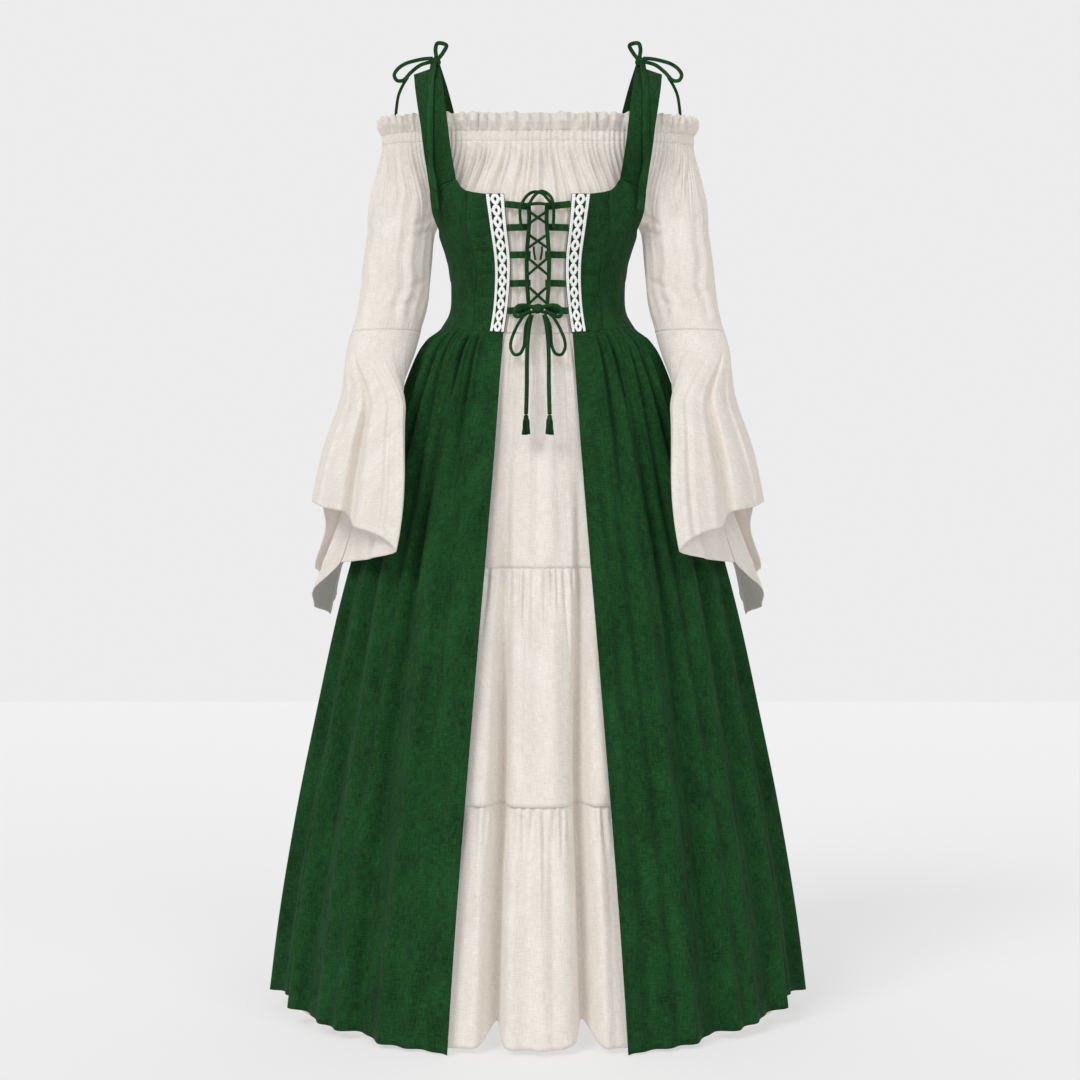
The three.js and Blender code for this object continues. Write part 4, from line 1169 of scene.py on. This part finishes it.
def shoulder_ties():
    bow = [
        knot(SHOULDER_KNOT, SHOULDER_KNOT_SIZE, 1),
        sweep(spline(TIE_UPPER, 60), flat_section(6, 2)),
        sweep(spline(TIE_OUTER, 90), flat_section(5.5, 2)),
    ]
    both_sides("shoulder_bow", bow, "green_cord")
    outer = spline(TAIL_OUTER, 60)
    front = [np.array(TAIL_START, float)]
    for row, share, lift in TAIL_ON_STRAP:
        row_points = STRAP_FRONT_LINES[row]
        ahead = STRAP_FRONT_LINES[min(row + 1, len(STRAP_FRONT_LINES) - 1)][1]
        behind = STRAP_FRONT_LINES[row - 1][1]
        normal = unit(np.cross(row_points[2] - row_points[0], ahead - behind))
        normal = normal if normal[1] < 0 else -normal
        front.append(mix(row_points[0], row_points[2], share) + normal * lift)
    front = spline([*front, *TAIL_BELOW], 90)
    for name, path, width, faces, length in (
        ("shoulder_tail_out", outer, 4.5, (0, -1, 0), 0.09),
        ("shoulder_tail_front", front, 10, TAIL_FACES, 0.25),
    ):
        parts = [sweep(path, flat_section(width, 1.8), faces)]
        right, left = both_sides(name, parts, "green_cord")


# Lace

def lace_place(across, down, lift):
    return front_place(across / 3, np.clip(down, 0.004, 0.996), lift)


LACE_WIDE = 25
LACE_LONG = 186
LACE_RING = 6.1
LACE_RING_TALL = 8.0
LACE_EYE_WIDE = 2.3
LACE_EYE_TALL = 3.7


def lace_mesh(across, down, lift, ring):
    points = lace_place(across, down, lift)
    return points.reshape(-1, 3), grid_faces(*across.shape, ring).tolist()


def lace_ring(middle):
    """One ring: from a pointed eye out to a round edge, with stitches all round."""
    share = np.concatenate([np.linspace(0, 1, 8), np.linspace(1, 0, 3)])[:, None]
    low = np.concatenate([np.zeros(8), np.ones(3)])[:, None]
    turn = (np.arange(72) / 72 * 2 * np.pi)[None, :]
    point = (np.abs(np.cos(turn)) / LACE_EYE_WIDE + np.abs(np.sin(turn)) / LACE_EYE_TALL) ** -1
    outer = np.hypot(np.cos(turn) / LACE_RING, np.sin(turn) / LACE_RING_TALL) ** -1
    outer = outer + 0.3 * np.cos(turn * 18)
    reach = mix(point, outer, share)
    height = 0.7 + 1.3 * np.sqrt(np.clip(np.sin(np.pi * np.clip(share, 0.04, 0.96)), 0, 1))
    stitches = 0.18 * np.cos(turn * 24 + share * 2)
    lift = np.where(low > 0, 0.5, height + stitches * np.sin(np.pi * share))
    across = 0.5 + reach * np.cos(turn) / LACE_WIDE
    down = middle + reach * np.sin(turn) / LACE_LONG
    across, down, lift = np.broadcast_arrays(across, down, lift)
    points, faces = lace_mesh(across, down, lift, True)
    rows, columns = across.shape
    faces += [[(rows - 1) * columns + k, k, (k + 1) % columns, (rows - 1) * columns + (k + 1) % columns]
              for k in range(columns)]
    return points, [face[::-1] for face in faces]


def lace_cord(across_middle, width, picot, seed):
    """A corded edge that runs down the lace, with small picots."""
    rows = 330
    down = np.linspace(0.004, 0.996, rows)[:, None]
    turn = (np.arange(10) / 10 * 2 * np.pi)[None, :]
    bumps = 1 + picot * np.cos(down * 2 * np.pi * 56 + seed)
    across = across_middle + width / 2 / LACE_WIDE * np.cos(turn) * bumps
    lift = 1.25 + (0.75 + 0.2 * np.cos(down * 2 * np.pi * 56 + seed)) * np.sin(turn)
    across, down, lift = np.broadcast_arrays(across, down, lift)
    points, faces = lace_mesh(across, down, lift, True)
    faces = [face[::-1] for face in faces]
    return points, faces + [list(range(10)), [(rows - 1) * 10 + k for k in range(10)][::-1]]


def lace_bars():
    """Short threads between the rings and the corded edges."""
    parts = []
    for i in range(LACE_RINGS):
        middle = (i + 0.5) / LACE_RINGS
        for side in (-1, 1):
            for up in (-1.6, 0, 1.6):
                near = 0.5 + side * (LACE_RING - 1.5) / LACE_WIDE
                far = 0.5 + side * (LACE_WIDE / 2 - 3) / LACE_WIDE
                across = np.linspace(near, far, 5)
                down = np.full(5, middle + up / LACE_LONG)
                path = lace_place(across, down, np.full(5, 1.2))
                parts.append(sweep(path, round_section(1.3, 8)))
    return parts


def laces():
    parts = [lace_ring((i + 0.5) / LACE_RINGS) for i in range(LACE_RINGS)]
    parts += [lace_cord(0.06, 2.6, 0.28, 0), lace_cord(0.15, 1.9, 0.18, 2)]
    parts += [lace_cord(0.94, 2.6, 0.28, 1), lace_cord(0.85, 1.9, 0.18, 3)]
    both_sides("lace", parts + lace_bars(), "lace")


# Loops, lacing and bows

def fabric_loops():
    for k, (edge, inner) in enumerate(LOOPS):
        start = curve(PANELS, "z", edge, "edge") - SEAM - 0.4
        share = np.linspace(0, 1, 16)
        path = on_front(mix(start, LOOP_INNER_X, share), mix(edge, inner, share), LOOP_THICK / 2 - 0.4)
        both_sides(f"loop_{k + 1}", [sweep(path, flat_section(LOOP_TALL, LOOP_THICK))], "green_cloth")


def lacing():
    both_sides("lacing_side", [cord(front_path(SIDE_CORD), 6, 90, 1)], "green_cord")
    for k, (z, wide, tall) in enumerate(CROSSINGS):
        strands = []
        for slant in (-1, 1):
            far = wide + CROSSING_REACH
            high = slant * tall * far / wide
            points = [(-far, z - high, 5), (0, z, 5 + slant), (far, z + high, 5)]
            strands.append(cord(front_path(points), 4, 24, 2 + slant))
        solid_piece(f"lacing_cross_{k + 1}", strands, "green_cord")
    upper = [cord(front_path(UPPER_ARCH), 4.6, 90, 4), cord(front_path(UPPER_LOOP), 4.6, 80, 5)]
    upper.append(cord(front_path(UPPER_BAR), 4.6, 26, 6))
    solid_piece("upper_bow", upper, "green_cord")
    both_sides("upper_tail", [cord(front_path(UPPER_TAIL), 3.2, 20, 7)], "green_cord")


def lower_bow():
    parts = [knot(on_front(*LOWER_KNOT), LOWER_KNOT_SIZE, 2)]
    for side in (1, -1):
        parts.append(cord(front_path(LOWER_CURL, side), 6, 70, 8))
        parts.append(cord(front_path(LOWER_LOOP, side), 4.6, 130, 9))
    solid_piece("lower_bow", parts, "green_cord")
    path = spline(front_path(LOWER_TAIL), 90)
    tails = both_sides("lower_tail", [sweep(path, round_section(6, 14))], "green_cord")
    tassel_pieces = both_sides("tassel", tassel(path[-1]), "green_cord")


def tassel(end):
    """A wound head over a bunch of loose strands."""
    top = end - (0, 0, 1.4)
    rows = np.linspace(0, 1, 30)
    head = top + np.outer(rows, (0, 0, -9))
    wound = np.interp(rows, [0, 0.15, 0.7, 1], [0.5, 0.95, 1.05, 1.25]) * (1 + 0.05 * np.sin(rows * 60))
    parts = [sweep(head, round_section(6.8, 20), size=wound)]
    for k in range(34):
        turn = k * 2.399963
        out = 3.3 * np.sqrt((k + 0.5) / 34)
        down = np.linspace(0, 1, 9)
        spread = out * (1 + 0.85 * down**0.7)
        drop = top[2] - 6 - down * (TASSEL_LENGTH - 7 - 1.5 * np.sin(k * 5.1) ** 2)
        sway = 0.5 * np.sin(down * 4 + k)
        path = stack(top[0] + spread * np.cos(turn) + sway, top[1] + spread * np.sin(turn), drop)
        parts.append(sweep(path, round_section(1.5, 6)))
    return parts


# The flat cut of what shows of each cloth, all round on a tube, in metres: width, length, the
# area where the cut isn't a rectangle, how it is held and what it hangs from
CUTS = {
    "neck_frill": (1.8, 0.028, None, "gathered", "neck_band"),
    "neck_band": (1.3, 0.016, None, "gathered", "chemise_front"),
    "chemise_front": (0.46, 0.29, 0.12, "gathered", "neck_band"),
    "chemise_back": (0.43, 0.29, 0.11, "gathered", "neck_band"),
    "sleeve": (0.35, 0.3, 0.1, "hung", "neck_band"),
    "bell": (0.9, 0.46, 0.25, "hung", "sleeve"),
    "tier_1": (1.45, 0.38, 0.41, "hung", "chemise_front"),
    "tier_2": (2.0, 0.33, 0.58, "gathered", "tier_1"),
    "tier_3": (2.4, 0.32, 0.7, "gathered", "tier_2"),
    "overskirt_front": (0.52, 1.02, 0.4, "gathered", "bodice_front"),
    "overskirt_back": (1.25, 1.03, 0.95, "gathered", "bodice_back"),
    "bodice_front": (0.07, 0.21, 0.013, "stretched", "strap_front"),
    "bodice_side": (0.17, 0.225, 0.021, "stretched", "strap_front"),
    "bodice_back": (0.53, 0.23, 0.09, "stretched", "strap_back"),
    "strap_front": (0.055, 0.215, 0.0095, "stretched", "shoulder_bow"),
    "strap_back": (0.05, 0.245, 0.0105, "stretched", "shoulder_bow"),
}


def declare_cuts():
    shown = bpy.data.objects
    for name, (width, length, area, held, rest) in CUTS.items():
        for side in ("", "_right", "_left"):
            piece = shown.get("cloth_" + name + side)
            if piece is None:
                continue
            upper = rest + side if "cloth_" + rest + side in shown else rest
            if "cloth_" + upper not in shown:
                upper = rest + "_right"


neck_frill()
neck_band()
chemise_body("chemise_front", 1, 84, 260)
chemise_body("chemise_back", -1, 60, 160)
sleeves()
bells()
underskirt()
overskirt()
bodice_front()
bodice_side()
bodice_back()
straps()
shoulder_ties()
laces()
fabric_loops()
lacing()
lower_bow()
declare_cuts()

bpy.context.scene.view_settings.view_transform = "Standard"
